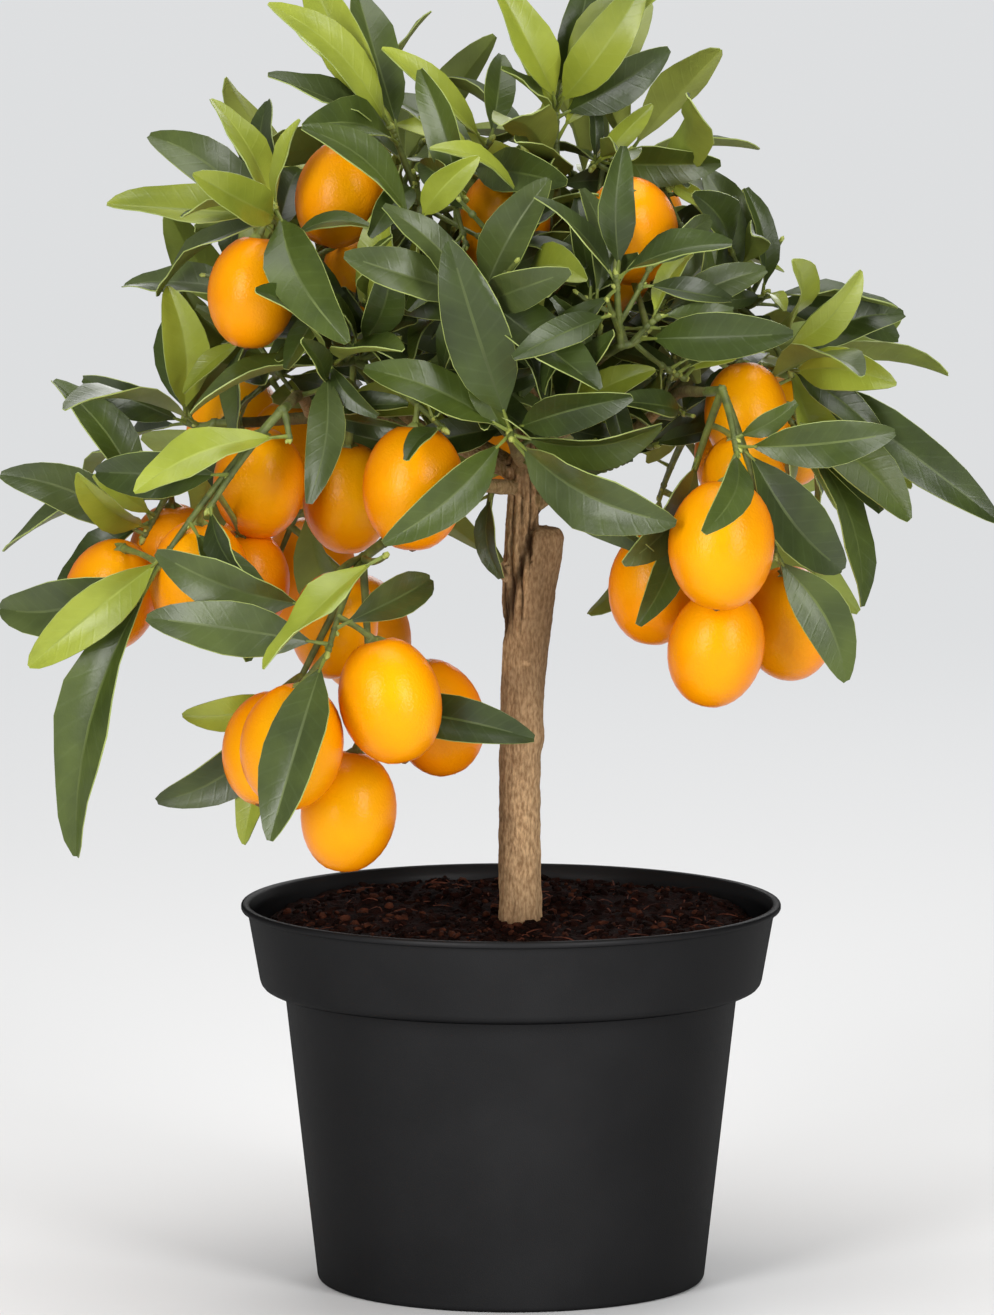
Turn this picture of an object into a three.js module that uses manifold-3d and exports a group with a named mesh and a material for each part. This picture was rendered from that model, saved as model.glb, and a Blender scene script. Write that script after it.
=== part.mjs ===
// A young grafted kumquat tree in a plastic nursery pot.
//
// Units are millimetres, +Z is up, +X is to the right of the tree's show side and -Y points at
// the viewer. The origin is the middle of the pot's flat underside.
//
// The tree is built the way it grew. A straight rootstock was cut off above the graft, and the
// scion beside the cut forks into boughs. Each bough ends in one mass of foliage, and each mass
// is a single stem that splits into shoots with leaves in a spiral and fruit on short stalks.

import * as THREE from "three";
import { mergeVertices } from "three/addons/utils/BufferGeometryUtils.js";
import Module from "manifold-3d";

const wasm = await Module();
wasm.setup();

// ---------------------------------------------------------------- driving dimensions

const GAP = 0.3; // clear space between two separate pieces

const POT = {
  height: 120,
  rimRadius: 85,
  lipHeight: 2.2,
  rimWidth: 2.4,
  rimBevel: 3, // how deep the wall's bevel goes inside the rim
  collarTopRadius: 83,
  collarFootRadius: 78.6,
  collarHeight: 27,
  collarRound: 4,
  bodyTopRadius: 71.4,
  footRadius: 61,
  footRound: 2.5,
  wall: 1.6,
  sides: 32,
  drainHoles: 6,
  drainRadius: 4,
  drainRing: 46,
};

const SOIL = { top: 112, crumble: 1.4 };

const LEAF = {
  length: 53,
  widthShare: 0.295,
  thickShare: 0.025,
  petiole: 0.12, // share of the length that has no blade
  stalk: 0.45, // half width of the petiole
  outset: 0.4, // from the twig's axis to the end of the petiole inside it
  belly: 0.9, // 1 gives the blade the outline of a sine wave, and less a fuller one
};
const FRUIT = {
  radius: 15.6,
  halfLength: 19.8,
  stalk: 1.1,
  stalkOffset: 3.2, // from the fruit's pole to where its stalk enters
  crownGap: 3, // how deep the stalk goes in
  hang: 6, // a stalk is sought from this far above the fruit
  lean: 0.55, // how much the fruit's axis follows its stalk, against hanging plumb
  plumb: 0.75,
  stalkBow: 1.5,
};
const TWIG = { rootRadius: 1.6, forkRadius: 1.5, tipRadius: 1.2, sides: 3, steps: 2 };

// Rootstock and scion, as [x, y, height, radius] stations from the soil up.
const STOCK = [
  [3, 0, SOIL.top + GAP, 7.4],
  [3, 0, 119, 6.9],
  [2.7, 0.3, 145, 6.7],
  [2.9, 0.2, 171, 6.7],
  [4.6, 0, 200, 7.4],
  [6.2, 0, 217, 7.9],
  [8.6, 0, 229, 7.4],
  [9.6, 0, 236, 7],
  [9.8, 0, 238.4, 5.4],
];
const SCION = [
  [3.4, 0.4, 196, 4.2],
  [2.4, 0, 212, 5.2],
  [3.2, -0.4, 228, 5.5],
  [3.9, -0.4, 242, 5.2],
  [3.9, 0.2, 254, 4.8],
  [4.6, 1.2, 266, 4.3],
];

// Boughs, each with the limb that it leaves, how far along it, its tip and its two radii.
// lift bows the bough up, or down where it is negative.
const BOUGHS = {
  leader: { from: "trunk", at: 0.99, tip: [13, 3, 320], radii: [2.8, 1.9], lift: 0 },
  upper_left: { from: "trunk", at: 0.9, tip: [-24, -2, 330], radii: [2.6, 1.8], lift: -6 },
  left_top: { from: "upper_left", at: 0.5, tip: [-60, -16, 316], radii: [2.1, 1.6], lift: 3 },
  left_middle: { from: "trunk", at: 0.8, tip: [-84, -6, 272], radii: [2.6, 1.7], lift: 10 },
  left_low: { from: "left_middle", at: 0.75, tip: [-69, -56, 282], radii: [2.0, 1.6], lift: 5 },
  low_left: { from: "trunk", at: 0.75, tip: [-40, -42, 238], radii: [2.5, 1.7], lift: 8 },
  left_inner: { from: "left_middle", at: 0.32, tip: [-44, -24, 288], radii: [2.1, 1.6], lift: -2 },
  front_middle: { from: "trunk", at: 0.88, tip: [0, -36, 272], radii: [2.3, 1.7], lift: -2 },
  front_top: { from: "leader", at: 0.3, tip: [-8, -36, 308], radii: [2.1, 1.6], lift: -2 },
  front_right: { from: "leader", at: 0.42, tip: [30, -48, 298], radii: [2.1, 1.6], lift: -4 },
  upper_right: { from: "leader", at: 0.85, tip: [30, 20, 346], radii: [2.0, 1.6], lift: 2 },
  right_middle: { from: "trunk", at: 0.62, tip: [58, -10, 288], radii: [2.7, 1.8], lift: -3 },
  right_top: { from: "right_middle", at: 0.62, tip: [66, 6, 300], radii: [2.0, 1.6], lift: -2 },
  right_low: { from: "right_middle", at: 0.7, tip: [61, -50, 286], radii: [2.0, 1.6], lift: 4 },
  sprout: { from: "trunk", at: 0.3, tip: [-4.6, -6, 230], radii: [1.8, 1.5], lift: -2 },
  back_left: { from: "trunk", at: 0.84, tip: [-46, 46, 290], radii: [2.5, 1.7], lift: -4 },
  back_left_low: { from: "back_left", at: 0.6, tip: [-52, 62, 262], radii: [2.0, 1.6], lift: 6 },
  back_left_top: { from: "upper_left", at: 0.45, tip: [-26, 34, 328], radii: [2.0, 1.6], lift: -2 },
  back_right: { from: "trunk", at: 0.94, tip: [50, 44, 292], radii: [2.5, 1.7], lift: -4 },
  back_right_low: { from: "back_right", at: 0.6, tip: [52, 64, 264], radii: [2.0, 1.6], lift: 6 },
  back_right_top: { from: "leader", at: 0.8, tip: [26, 36, 334], radii: [2.0, 1.6], lift: -2 },
  back_middle: { from: "trunk", at: 0.97, tip: [2, 48, 294], radii: [2.3, 1.7], lift: -3 },
};

// Masses of foliage, one at the tip of each bough. A shoot is the point that its twig reaches,
// its number of leaves, the turn of its leaf spiral and its share of young leaves. aims are the
// tips of its most prominent leaves, each with 1 for a young leaf or 0 for a mature one, and with
// the turn of the blade in degrees where it matters. sun is the side that the leaves turn their
// faces to. A fruit is its centre and its size against FRUIT.
const MASSES = {
  leader: {
    sun: [0.1, -0.8, 0.6],
    shoots: [
      {
        to: [14, 0, 375], leaves: 3, spin: 150, young: 0.6,
        aims: [
          [-3, -14, 383, 0], [49, -10, 389, 0, 50], [0, 8, 392, 1], [-6, -12, 411, 1],
          [50, -16, 411, 1], [25, 8, 413, 0],
        ],
      },
      { to: [4, 12, 356], leaves: 4, spin: 40, young: 0.4, aims: [] },
    ],
    fruit: [],
  },
  upper_left: {
    sun: [-0.2, -0.8, 0.6],
    shoots: [
      {
        to: [-37, -14, 365], leaves: 2, spin: 160, young: 0.5,
        aims: [
          [-64, -46, 367, 0], [-75, -38, 382, 0], [-75, -26, 404, 1], [-64, -6, 414, 1],
        ],
      },
      {
        to: [-6, -10, 361], leaves: 1, spin: 268, young: 0.5,
        aims: [
          [-36, -4, 365, 1], [-43, 6, 374, 0], [-40, -24, 390, 1], [-3, 10, 386, 0],
        ],
      },
      {
        to: [-14, -38, 344], leaves: 0, spin: 0, young: 0.3,
        aims: [
          [-24, -30, 363, 1], [-28, -32, 384, 0],
        ],
      },
      {
        to: [-29, -50, 336], leaves: 0, spin: 0, young: 0.3,
        aims: [
          [-10, -58, 359, 1, 20], [-64, -60, 368, 0, 40],
        ],
      },
    ],
    fruit: [
      [-53, -20, 344.5, 0.87],
    ],
  },
  left_top: {
    sun: [-0.3, -0.8, 0.5],
    shoots: [
      {
        to: [-73, -32, 342], leaves: 2, spin: 10, young: 0.2,
        aims: [
          [-76, 4, 372, 0], [-110, -14, 312, 0, 30], [-93, -18, 374, 1, 45], [-125, -28, 342, 1],
          [-101, -44, 340, 0, 60], [-76, -62, 307, 0, 60], [-65, -40, 369, 1],
          [-50, -72, 303, 0, 0],
        ],
      },
      {
        to: [-83, -8, 297], leaves: 3, spin: 90, young: 0.3,
        aims: [
          [-98, -14, 309, 0], [-102, -14, 282, 1],
        ],
      },
    ],
    fruit: [
      [-80, -36, 315.5, 0.9], [-45, 8, 316, 0.85],
    ],
  },
  left_middle: {
    sun: [-0.3, -0.8, 0.5],
    shoots: [
      {
        to: [-102, -2, 272], leaves: 3, spin: 60, young: 0.3,
        aims: [
          [-134, 4, 285, 0], [-107, -8, 315, 1, 50],
        ],
      },
      {
        to: [-115, -14, 236], leaves: 3, spin: 0, young: 0.3,
        aims: [
          [-130, -20, 257, 1], [-143, -4, 285, 0, 45], [-134, -42, 260, 1], [-159, -18, 257, 0],
        ],
      },
    ],
    fruit: [
      [-106, -4, 229, 0.9],
    ],
  },
  left_low: {
    sun: [-0.2, -0.9, 0.4],
    shoots: [
      {
        to: [-93, -68, 251], leaves: 1, spin: 258, young: 0.2,
        aims: [
          [-80, -88, 231, 0],
        ],
      },
      {
        to: [-112, -66, 228], leaves: 1, spin: 168, young: 0,
        aims: [
          [-148, -68, 203, 1], [-134, -60, 143, 0, 14], [-158, -44, 218, 0],
        ],
      },
      { to: [-68, -65, 273], leaves: 0, spin: 0, young: 0.2, aims: [[-115, -80, 258, 1, 38]] },
    ],
    fruit: [
      [-96, -56, 228, 0.98], [-124, -34, 221, 0.95], [-78, -34, 256, 0.92], [-82, -26, 225, 0.85],
    ],
  },
  low_left: {
    sun: [-0.1, -0.9, 0.4],
    shoots: [
      {
        to: [-56, -96, 210], leaves: 0, spin: 90, young: 0.2,
        aims: [
          [-25, -50, 228, 0], [-30, -74, 222, 0, 50], [-94, -74, 188, 0],
          [-111, -92, 221, 0, 0], [-73, -117, 156, 0, 10],
        ],
      },
      {
        to: [-43, -62, 187], leaves: 1, spin: 10, young: 0.1,
        aims: [
          [-26, -52, 202, 0], [7, -92, 182, 0],
        ],
      },
      {
        to: [-73, -34, 179], leaves: 0, spin: 10, young: 0.1,
        aims: [
          [-102, -38, 184, 1], [-110, -44, 157, 0], [-83, -48, 144, 1],
        ],
      },
      { to: [-61, -82, 222], leaves: 0, spin: 0, young: 0.1, aims: [[-108, -92, 241, 0, -25]] },
      { to: [-38, -90, 240], leaves: 0, spin: 0, young: 0.1, aims: [[-75, -100, 208, 1, 46]] },
    ],
    fruit: [
      [-37, -88, 195, 1.0], [-67, -88, 181, 1.0], [-50, -66, 158, 0.97], [-23, -50, 185, 0.95],
      [-75, -56, 176, 0.92], [-55, -28, 211, 0.88],
    ],
  },
  left_inner: {
    sun: [-0.2, -0.8, 0.6],
    shoots: [
      {
        to: [-57, -46, 295], leaves: 3, spin: 240, young: 0.1,
        aims: [
          [-62, -66, 253, 0], [-41, -56, 279, 0],
        ],
      },
      {
        to: [-20, -62, 275], leaves: 2, spin: 100, young: 0.1,
        aims: [
          [-44, -60, 301, 0, 60], [-32, -82, 268, 0],
        ],
      },
      { to: [-35, -38, 301], leaves: 2, spin: 320, young: 0.1, aims: [] },
    ],
    fruit: [
      [-30, -56, 257, 1.0], [-51, -12, 249, 0.9],
    ],
  },
  front_middle: {
    sun: [0, -0.8, 0.6],
    shoots: [
      {
        to: [0, -66, 273], leaves: 1, spin: 290, young: 0.1,
        aims: [
          [-19, -82, 335, 0], [-45, -70, 295, 0], [-39, -86, 243, 0], [46, -62, 277, 0, 62],
          [50, -86, 250, 0, 45], [44, -72, 238, 0, 55],
        ],
      },
    ],
    fruit: [],
  },
  front_top: {
    sun: [-0.1, -0.8, 0.6],
    shoots: [
      {
        to: [-9, -60, 315], leaves: 3, spin: 150, young: 0,
        aims: [
          [-39, -72, 345, 0, 0], [-51, -74, 330, 0, 0],
        ],
      },
      {
        to: [-2, -50, 333], leaves: 0, spin: 0, young: 0.5,
        aims: [
          [23, -60, 325, 0, -20],
        ],
      },
      { to: [4, -40, 346], leaves: 0, spin: 0, young: 0.1, aims: [[-25, -52, 361, 1, 10]] },
    ],
    fruit: [
      [-2, -8, 335, 0.9],
    ],
  },
  front_right: {
    sun: [0.2, -0.8, 0.6],
    shoots: [
      {
        to: [32, -66, 324], leaves: 0, spin: 0, young: 0.1,
        aims: [
          [10, -66, 287, 0], [7, -66, 347, 0], [67, -80, 334, 0], [34, -70, 363, 0],
        ],
      },
      { to: [42, -52, 305], leaves: 1, spin: 200, young: 0.1, aims: [] },
    ],
    fruit: [
      [37, -32, 334, 0.95], [31, -2, 320, 0.85],
    ],
  },
  upper_right: {
    sun: [0.3, -0.7, 0.7],
    shoots: [
      {
        to: [25, -2, 351], leaves: 2, spin: 90, young: 0.4,
        aims: [
          [65, -16, 354, 0, 50], [25, 4, 373, 0], [44, 0, 371, 1],
        ],
      },
      {
        to: [49, -6, 345], leaves: 1, spin: 10, young: 0,
        aims: [
          [64, -10, 338, 1], [55, -26, 346, 0], [54, 12, 363, 0],
        ],
      },
    ],
    fruit: [],
  },
  right_middle: {
    sun: [0.3, -0.8, 0.5],
    shoots: [
      {
        to: [92, -14, 267], leaves: 3, spin: 90, young: 0.3,
        aims: [
          [125, -10, 252, 1], [115, -24, 246, 0], [109, -30, 217, 0],
        ],
      },
    ],
    fruit: [
      [73, -22, 276, 0.85],
    ],
  },
  right_top: {
    sun: [0.3, -0.8, 0.5],
    shoots: [
      {
        to: [80, 2, 312], leaves: 2, spin: 120, young: 0.2,
        aims: [
          [73, -2, 345, 0], [59, -10, 311, 0], [85, -18, 308, 1],
        ],
      },
      {
        to: [87, -10, 288], leaves: 2, spin: 70, young: 0.4,
        aims: [
          [109, -10, 320, 1], [123, 6, 305, 0], [152, -16, 242, 0], [116, -28, 269, 0],
          [119, -36, 287, 1],
        ],
      },
    ],
    fruit: [],
  },
  right_low: {
    sun: [0.1, -0.9, 0.4],
    shoots: [
      {
        to: [69, -75, 269], leaves: 0, spin: 0, young: 0,
        aims: [
          [87, -74, 285, 0], [102, -66, 231, 0], [117, -76, 276, 0], [58, -111, 249, 0],
        ],
      },
      {
        to: [52, -40, 245], leaves: 2, spin: 110, young: 0.1,
        aims: [
          [39, -62, 215, 0],
        ],
      },
      {
        to: [81, -66, 237], leaves: 0, spin: 0, young: 0,
        aims: [
          [103, -64, 198, 0, 10],
        ],
      },
    ],
    fruit: [
      [64, -80, 242, 1.03], [63, -58, 207.5, 0.95], [45, -34, 224, 0.95], [86, -32, 212, 0.95],
      [72, -44, 256, 0.85],
    ],
  },
  sprout: {
    sun: [-0.3, -0.8, 0.5],
    shoots: [
      {
        to: [-6, -9, 252], leaves: 0, spin: 0, young: 0.3,
        aims: [
          [-20, 2, 237, 0], [-3, -14, 224, 0],
        ],
      },
    ],
    fruit: [],
  },
  back_left: {
    sun: [-0.4, 0.7, 0.6],
    shoots: [
      { to: [-84, 58, 300], leaves: 5, spin: 0, young: 0.4, aims: [] },
      { to: [-92, 36, 268], leaves: 5, spin: 80, young: 0.2, aims: [] },
      { to: [-52, 82, 306], leaves: 4, spin: 200, young: 0.2, aims: [] },
    ],
    fruit: [
      [-88, 64, 262, 1], [-70, 32, 258, 0.9],
    ],
  },
  back_left_low: {
    sun: [-0.3, 0.8, 0.5],
    shoots: [
      { to: [-74, 78, 222], leaves: 5, spin: 40, young: 0.2, aims: [] },
      { to: [-48, 92, 240], leaves: 5, spin: 130, young: 0.1, aims: [] },
    ],
    fruit: [
      [-66, 96, 212, 1], [-48, 72, 196, 1], [-90, 74, 214, 0.95],
    ],
  },
  back_left_top: {
    sun: [-0.3, 0.7, 0.7],
    shoots: [
      { to: [-44, 40, 362], leaves: 5, spin: 30, young: 0.5, aims: [] },
      { to: [-62, 56, 334], leaves: 5, spin: 150, young: 0.3, aims: [] },
      { to: [-14, 64, 346], leaves: 4, spin: 270, young: 0.3, aims: [] },
    ],
    fruit: [
      [-40, 66, 317, 0.95],
    ],
  },
  back_right: {
    sun: [0.4, 0.7, 0.6],
    shoots: [
      { to: [80, 56, 284], leaves: 5, spin: 0, young: 0.4, aims: [] },
      { to: [94, 36, 266], leaves: 5, spin: 80, young: 0.2, aims: [] },
      { to: [58, 82, 302], leaves: 4, spin: 200, young: 0.2, aims: [] },
    ],
    fruit: [
      [88, 62, 264, 1], [72, 34, 258, 0.9],
    ],
  },
  back_right_low: {
    sun: [0.3, 0.8, 0.5],
    shoots: [
      { to: [74, 76, 224], leaves: 5, spin: 60, young: 0.2, aims: [] },
      { to: [48, 92, 238], leaves: 2, spin: 60, young: 0.1, aims: [] },
    ],
    fruit: [
      [66, 96, 214, 1], [54, 66, 214, 1],
    ],
  },
  back_right_top: {
    sun: [0.3, 0.7, 0.7],
    shoots: [
      { to: [38, 40, 354], leaves: 5, spin: 50, young: 0.5, aims: [] },
      { to: [48, 58, 318], leaves: 5, spin: 170, young: 0.3, aims: [] },
      { to: [20, 66, 344], leaves: 4, spin: 290, young: 0.3, aims: [] },
    ],
    fruit: [
      [40, 64, 332, 0.95],
    ],
  },
  back_middle: {
    sun: [0, 0.8, 0.6],
    shoots: [
      { to: [-6, 98, 306], leaves: 5, spin: 40, young: 0.3, aims: [] },
      { to: [-18, 100, 274], leaves: 5, spin: 150, young: 0.1, aims: [] },
      { to: [22, 98, 272], leaves: 4, spin: 260, young: 0.1, aims: [] },
    ],
    fruit: [
      [0, 96, 258, 1], [12, 82, 284, 0.9],
    ],
  },
};

// ---------------------------------------------------------------- helpers

const UP = new THREE.Vector3(0, 0, 1);
const GOLDEN_TURN = 137.5; // degrees from one leaf of a spiral to the next
const vec = (p) => new THREE.Vector3(p[0], p[1], p[2]);
const mix = (a, b, t) => a + (b - a) * t;

// A small seeded generator of numbers from 0 to 1 (mulberry32).
function seeded(seed) {
  let state = seed >>> 0;
  return () => {
    state = (state + 0x6d2b79f5) >>> 0;
    let t = state;
    t = Math.imul(t ^ (t >>> 15), t | 1);
    t ^= t + Math.imul(t ^ (t >>> 7), t | 61);
    return ((t ^ (t >>> 14)) >>> 0) / 4294967296;
  };
}

// Moves every vertex of a primitive by a rule, and welds it into one closed mesh.
function shaped(primitive, place) {
  const geometry = primitive.clone();
  geometry.deleteAttribute("normal");
  geometry.deleteAttribute("uv");
  const position = geometry.attributes.position;
  const point = new THREE.Vector3();
  for (let i = 0; i < position.count; i++) {
    place(point.fromBufferAttribute(position, i));
    position.setXYZ(i, point.x, point.y, point.z);
  }
  return mergeVertices(geometry, 1e-4);
}

function solidOf(geometry) {
  return new wasm.Manifold(
    new wasm.Mesh({
      numProp: 3,
      vertProperties: new Float32Array(geometry.attributes.position.array),
      triVerts: new Uint32Array(geometry.index.array),
    }),
  );
}

function geometryOf(solid) {
  const mesh = solid.getMesh();
  const geometry = new THREE.BufferGeometry();
  geometry.setAttribute("position", new THREE.BufferAttribute(mesh.vertProperties, 3));
  geometry.setIndex(new THREE.BufferAttribute(mesh.triVerts, 1));
  return geometry;
}

// The largest body of a solid, so that a scrap left by a cut is dropped.
function largest(solid) {
  const bodies = solid.decompose();
  return bodies.reduce((a, b) => (b.volume() > a.volume() ? b : a));
}

function boxesMeet(a, b) {
  const axes = [0, 1, 2];
  return axes.every((k) => a.min[k] <= b.max[k] && b.min[k] <= a.max[k]);
}

// A direction made square to an axis, or a spare one where it runs along the axis.
function squareTo(direction, axis) {
  const made = direction.clone().addScaledVector(axis, -direction.dot(axis));
  if (made.lengthSq() < 1e-4) made.set(1, 0, 0).addScaledVector(axis, -axis.x);
  return made.normalize();
}

// ---------------------------------------------------------------- limbs

// A limb is a smooth curve through its points, with a radius that follows the stations.
class Limb {
  constructor(points, radii) {
    this.curve = new THREE.CatmullRomCurve3(points.map(vec), false, "centripetal");
    this.radii = radii;
  }

  radius(t) {
    const place = t * (this.radii.length - 1);
    const low = Math.min(Math.floor(place), this.radii.length - 2);
    return mix(this.radii[low], this.radii[low + 1], place - low);
  }

  // The limb as a closed tube, each radius grown by `grown`.
  geometry(sides, steps, grown = 0) {
    const tube = new THREE.CylinderGeometry(1, 1, 1, sides, steps);
    return shaped(tube, (p) => {
      const t = THREE.MathUtils.clamp(p.y + 0.5, 0, 1);
      const centre = this.curve.getPoint(t);
      const along = this.curve.getTangent(t);
      const across = squareTo(new THREE.Vector3(1, 0, 0), along);
      const third = new THREE.Vector3().crossVectors(across, along);
      const r = this.radius(t) + grown;
      const [x, z] = [p.x, p.z];
      p.copy(centre).addScaledVector(across, x * r).addScaledVector(third, z * r);
    });
  }

  solid(sides, steps, grown = 0) {
    return solidOf(this.geometry(sides, steps, grown));
  }
}

const stationsOf = (rows) => [rows.map((row) => row.slice(0, 3)), rows.map((row) => row[3])];
const STOCK_SHAPE = { sides: 10, steps: 12 };
const SCION_SHAPE = { sides: 8, steps: 7 };
const BOUGH_SHAPE = { sides: 5, steps: 3 };

const stock = new Limb(...stationsOf(STOCK));
const scion = new Limb(...stationsOf(SCION));

// The boughs' curves. Each starts on its parent's axis and bows by its lift on the way.
const limbs = { trunk: scion };
for (const [name, bough] of Object.entries(BOUGHS)) {
  const start = limbs[bough.from].curve.getPoint(bough.at);
  const tip = vec(bough.tip);
  const bow = start.clone().lerp(tip, 0.5);
  bow.z += bough.lift;
  limbs[name] = new Limb([start.toArray(), bow.toArray(), tip.toArray()], bough.radii);
}

function trunkSolid(grown) {
  const low = stock.solid(STOCK_SHAPE.sides, STOCK_SHAPE.steps, grown);
  const high = scion.solid(SCION_SHAPE.sides, SCION_SHAPE.steps, grown);
  return low.add(high);
}

// Each limb is cut clear of every limb before it.
const limbSolids = { trunk: trunkSolid(0) };
const grownLimbs = { trunk: trunkSolid(GAP) };
for (const name of Object.keys(BOUGHS)) {
  let solid = limbs[name].solid(BOUGH_SHAPE.sides, BOUGH_SHAPE.steps);
  for (const earlier of Object.values(grownLimbs)) solid = solid.subtract(earlier);
  limbSolids[name] = largest(solid);
  grownLimbs[name] = limbs[name].solid(BOUGH_SHAPE.sides, BOUGH_SHAPE.steps, GAP);
}

// ---------------------------------------------------------------- the rule of growth

const RULE = {
  stemReach: 9, // from a bough's tip to the place where its stem splits into shoots
  shootBow: [2, 7], // rise of a shoot's middle
  shootSag: -0.6, // that rise is turned over by this where the shoot grows down
  leafyFrom: 0.4, // the share of a shoot where its leaves start
  leafyTo: 0.96,
  tries: 7, // poses that a leaf tries before it is left out
  tryTurn: 41, // a leaf of the spiral turns on by this, in degrees
  tryShift: 7, // an aimed leaf swings this far nearer or further
  sunAxis: 0.35, // how far a leaf's face leans along its shoot
  fold: [0.25, 0.6], // rise of a blade's edge against its half width
  aimed: { shares: [0.65, 1], curl: [0.45, 1], roll: 32, width: [0.85, 1.15], longest: 1.2 },
  spiral: { curl: [0.4, 1.15], roll: 55, width: [0.86, 1.14], size: [0.84, 1.14] },
  tilt: [78, 34], // from a leaf to its shoot, in degrees, at the start and at the tip
  tiltSpread: 12,
  tipSize: [1.05, 0.92],
  tipYouth: [0.5, 1.3],
  rise: { young: 0.25, mature: -0.12 },
};

const degrees = THREE.MathUtils.degToRad;
const pick = (range, draw) => mix(range[0], range[1], draw);
const spread = (width, draw) => mix(-width, width, draw);

function bowed(start, end, lift) {
  const middle = start.clone().lerp(end, 0.5);
  middle.z += lift;
  return new THREE.QuadraticBezierCurve3(start, middle, end);
}

// Centre line of a leaf: an arc of angle `curl` over the straight line from root to tip.
function leafPoint(leaf, u) {
  const half = leaf.curl / 2;
  const now = leaf.curl * (0.5 - u);
  const along = (Math.sin(half) - Math.sin(now)) / leaf.curl;
  const raised = (Math.cos(now) - Math.cos(half)) / leaf.curl;
  return leaf.root
    .clone()
    .addScaledVector(leaf.direction, leaf.length * along)
    .addScaledVector(leaf.normal, leaf.length * raised);
}

function leafFrame(leaf, u) {
  const now = leaf.curl * (0.5 - u);
  const along = leaf.direction
    .clone()
    .multiplyScalar(Math.cos(now))
    .addScaledVector(leaf.normal, Math.sin(now));
  const side = new THREE.Vector3().crossVectors(leaf.direction, leaf.normal);
  const face = new THREE.Vector3().crossVectors(side, along);
  return { along, side, face };
}

// Half the blade's width at a share u of the leaf's length. The petiole has none.
function leafHalfWidth(leaf, u) {
  const s = THREE.MathUtils.clamp((u - LEAF.petiole) / (1 - LEAF.petiole), 0, 1);
  return (leaf.width / 2) * Math.pow(Math.sin(Math.PI * Math.pow(s, LEAF.belly)), LEAF.belly);
}

// A leaf is blocked where it would run into a fruit, a limb or the pot.
const TEST_PLACES = [0.3, 0.45, 0.6, 0.8, 1];
const POT_CLEAR = 6;
const FRUIT_CLEAR = 1.06; // against the fruit's own size

function blocked(leaf, fruits) {
  return TEST_PLACES.some((u) => {
    const { side } = leafFrame(leaf, u);
    const reach = leafHalfWidth(leaf, u);
    return [-1, 0, 1].some((edge) => {
      const p = leafPoint(leaf, u).addScaledVector(side, edge * reach);
      const low = p.z < POT.height + POT_CLEAR;
      if (low && Math.hypot(p.x, p.y) < POT.rimRadius + POT_CLEAR) return true;
      if (fruits.some((fruit) => insideFruit(fruit, p))) return true;
      return Object.values(limbRails).some((rail) =>
        rail.some((bead) => bead.distanceTo(p) < BEAD_RADIUS),
      );
    });
  });
}

function insideFruit(fruit, p) {
  const away = p.clone().sub(fruit.centre);
  const up = away.dot(fruit.axis);
  const out = Math.sqrt(Math.max(away.lengthSq() - up * up, 0));
  return Math.hypot(up / fruit.halfLength, out / fruit.radius) < FRUIT_CLEAR;
}

// Beads along each limb stand in for it in the test above.
const BEAD_RADIUS = 4.5;
const BEADS = 12;
const limbRails = {};
for (const [name, limb] of Object.entries(limbs)) limbRails[name] = limb.curve.getPoints(BEADS);
limbRails.stock = stock.curve.getPoints(BEADS * 3);

function growShoots(name, mass, seed) {
  const bough = limbs[name];
  const tip = bough.curve.getPoint(1);
  const heading = bough.curve.getTangent(1);
  const fork = tip.clone().addScaledVector(heading, RULE.stemReach);
  const rand = seeded(seed);
  const root = tip.clone().addScaledVector(heading, GAP);
  const stem = {
    curve: new THREE.LineCurve3(root, fork),
    radii: [TWIG.rootRadius, TWIG.forkRadius],
    steps: 1,
  };
  const shoots = mass.shoots.map((shoot) => {
    const end = vec(shoot.to);
    const lift = pick(RULE.shootBow, rand()) * (end.z < fork.z ? 1 : RULE.shootSag);
    return {
      ...shoot,
      curve: bowed(fork, end, lift),
      radii: [TWIG.forkRadius, TWIG.tipRadius],
      steps: TWIG.steps,
      seed: Math.floor(rand() * 1e6),
    };
  });
  return { stem, shoots };
}

// A fruit hangs on a stalk from the nearest point of its mass's twigs above it.
function growFruit(mass, shoots) {
  const samples = shoots.flatMap((shoot) => shoot.curve.getPoints(10));
  return mass.fruit.map(([x, y, z, size]) => {
    const centre = new THREE.Vector3(x, y, z);
    const halfLength = FRUIT.halfLength * size;
    const above = centre.clone().addScaledVector(UP, halfLength + FRUIT.hang);
    const anchor = samples.reduce((a, b) =>
      b.distanceTo(above) < a.distanceTo(above) ? b : a,
    );
    const lean = anchor.clone().sub(centre).normalize();
    const axis = lean.multiplyScalar(FRUIT.lean).addScaledVector(UP, FRUIT.plumb).normalize();
    const top = centre.clone().addScaledVector(axis, halfLength - FRUIT.crownGap);
    return { centre, axis, halfLength, radius: FRUIT.radius * size, anchor, top };
  });
}

// The leaves of a shoot as tries: each is a leaf that can be asked for again in another pose.
function growLeaves(mass, shoot) {
  const rand = seeded(shoot.seed);
  const total = shoot.aims.length + shoot.leaves;
  return Array.from({ length: total }, (_, k) => {
    const draws = Array.from({ length: 7 }, rand);
    const aim = k < shoot.aims.length ? shoot.aims[k] : null;
    const share = aim ? pick(RULE.aimed.shares, (k + 1) / shoot.aims.length)
      : (k - shoot.aims.length + 0.5) / shoot.leaves;
    return (attempt) =>
      aim ? aimedLeaf(mass, shoot, aim, share, draws, attempt)
          : spiralLeaf(mass, shoot, k, share, draws, attempt);
  });
}

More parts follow.
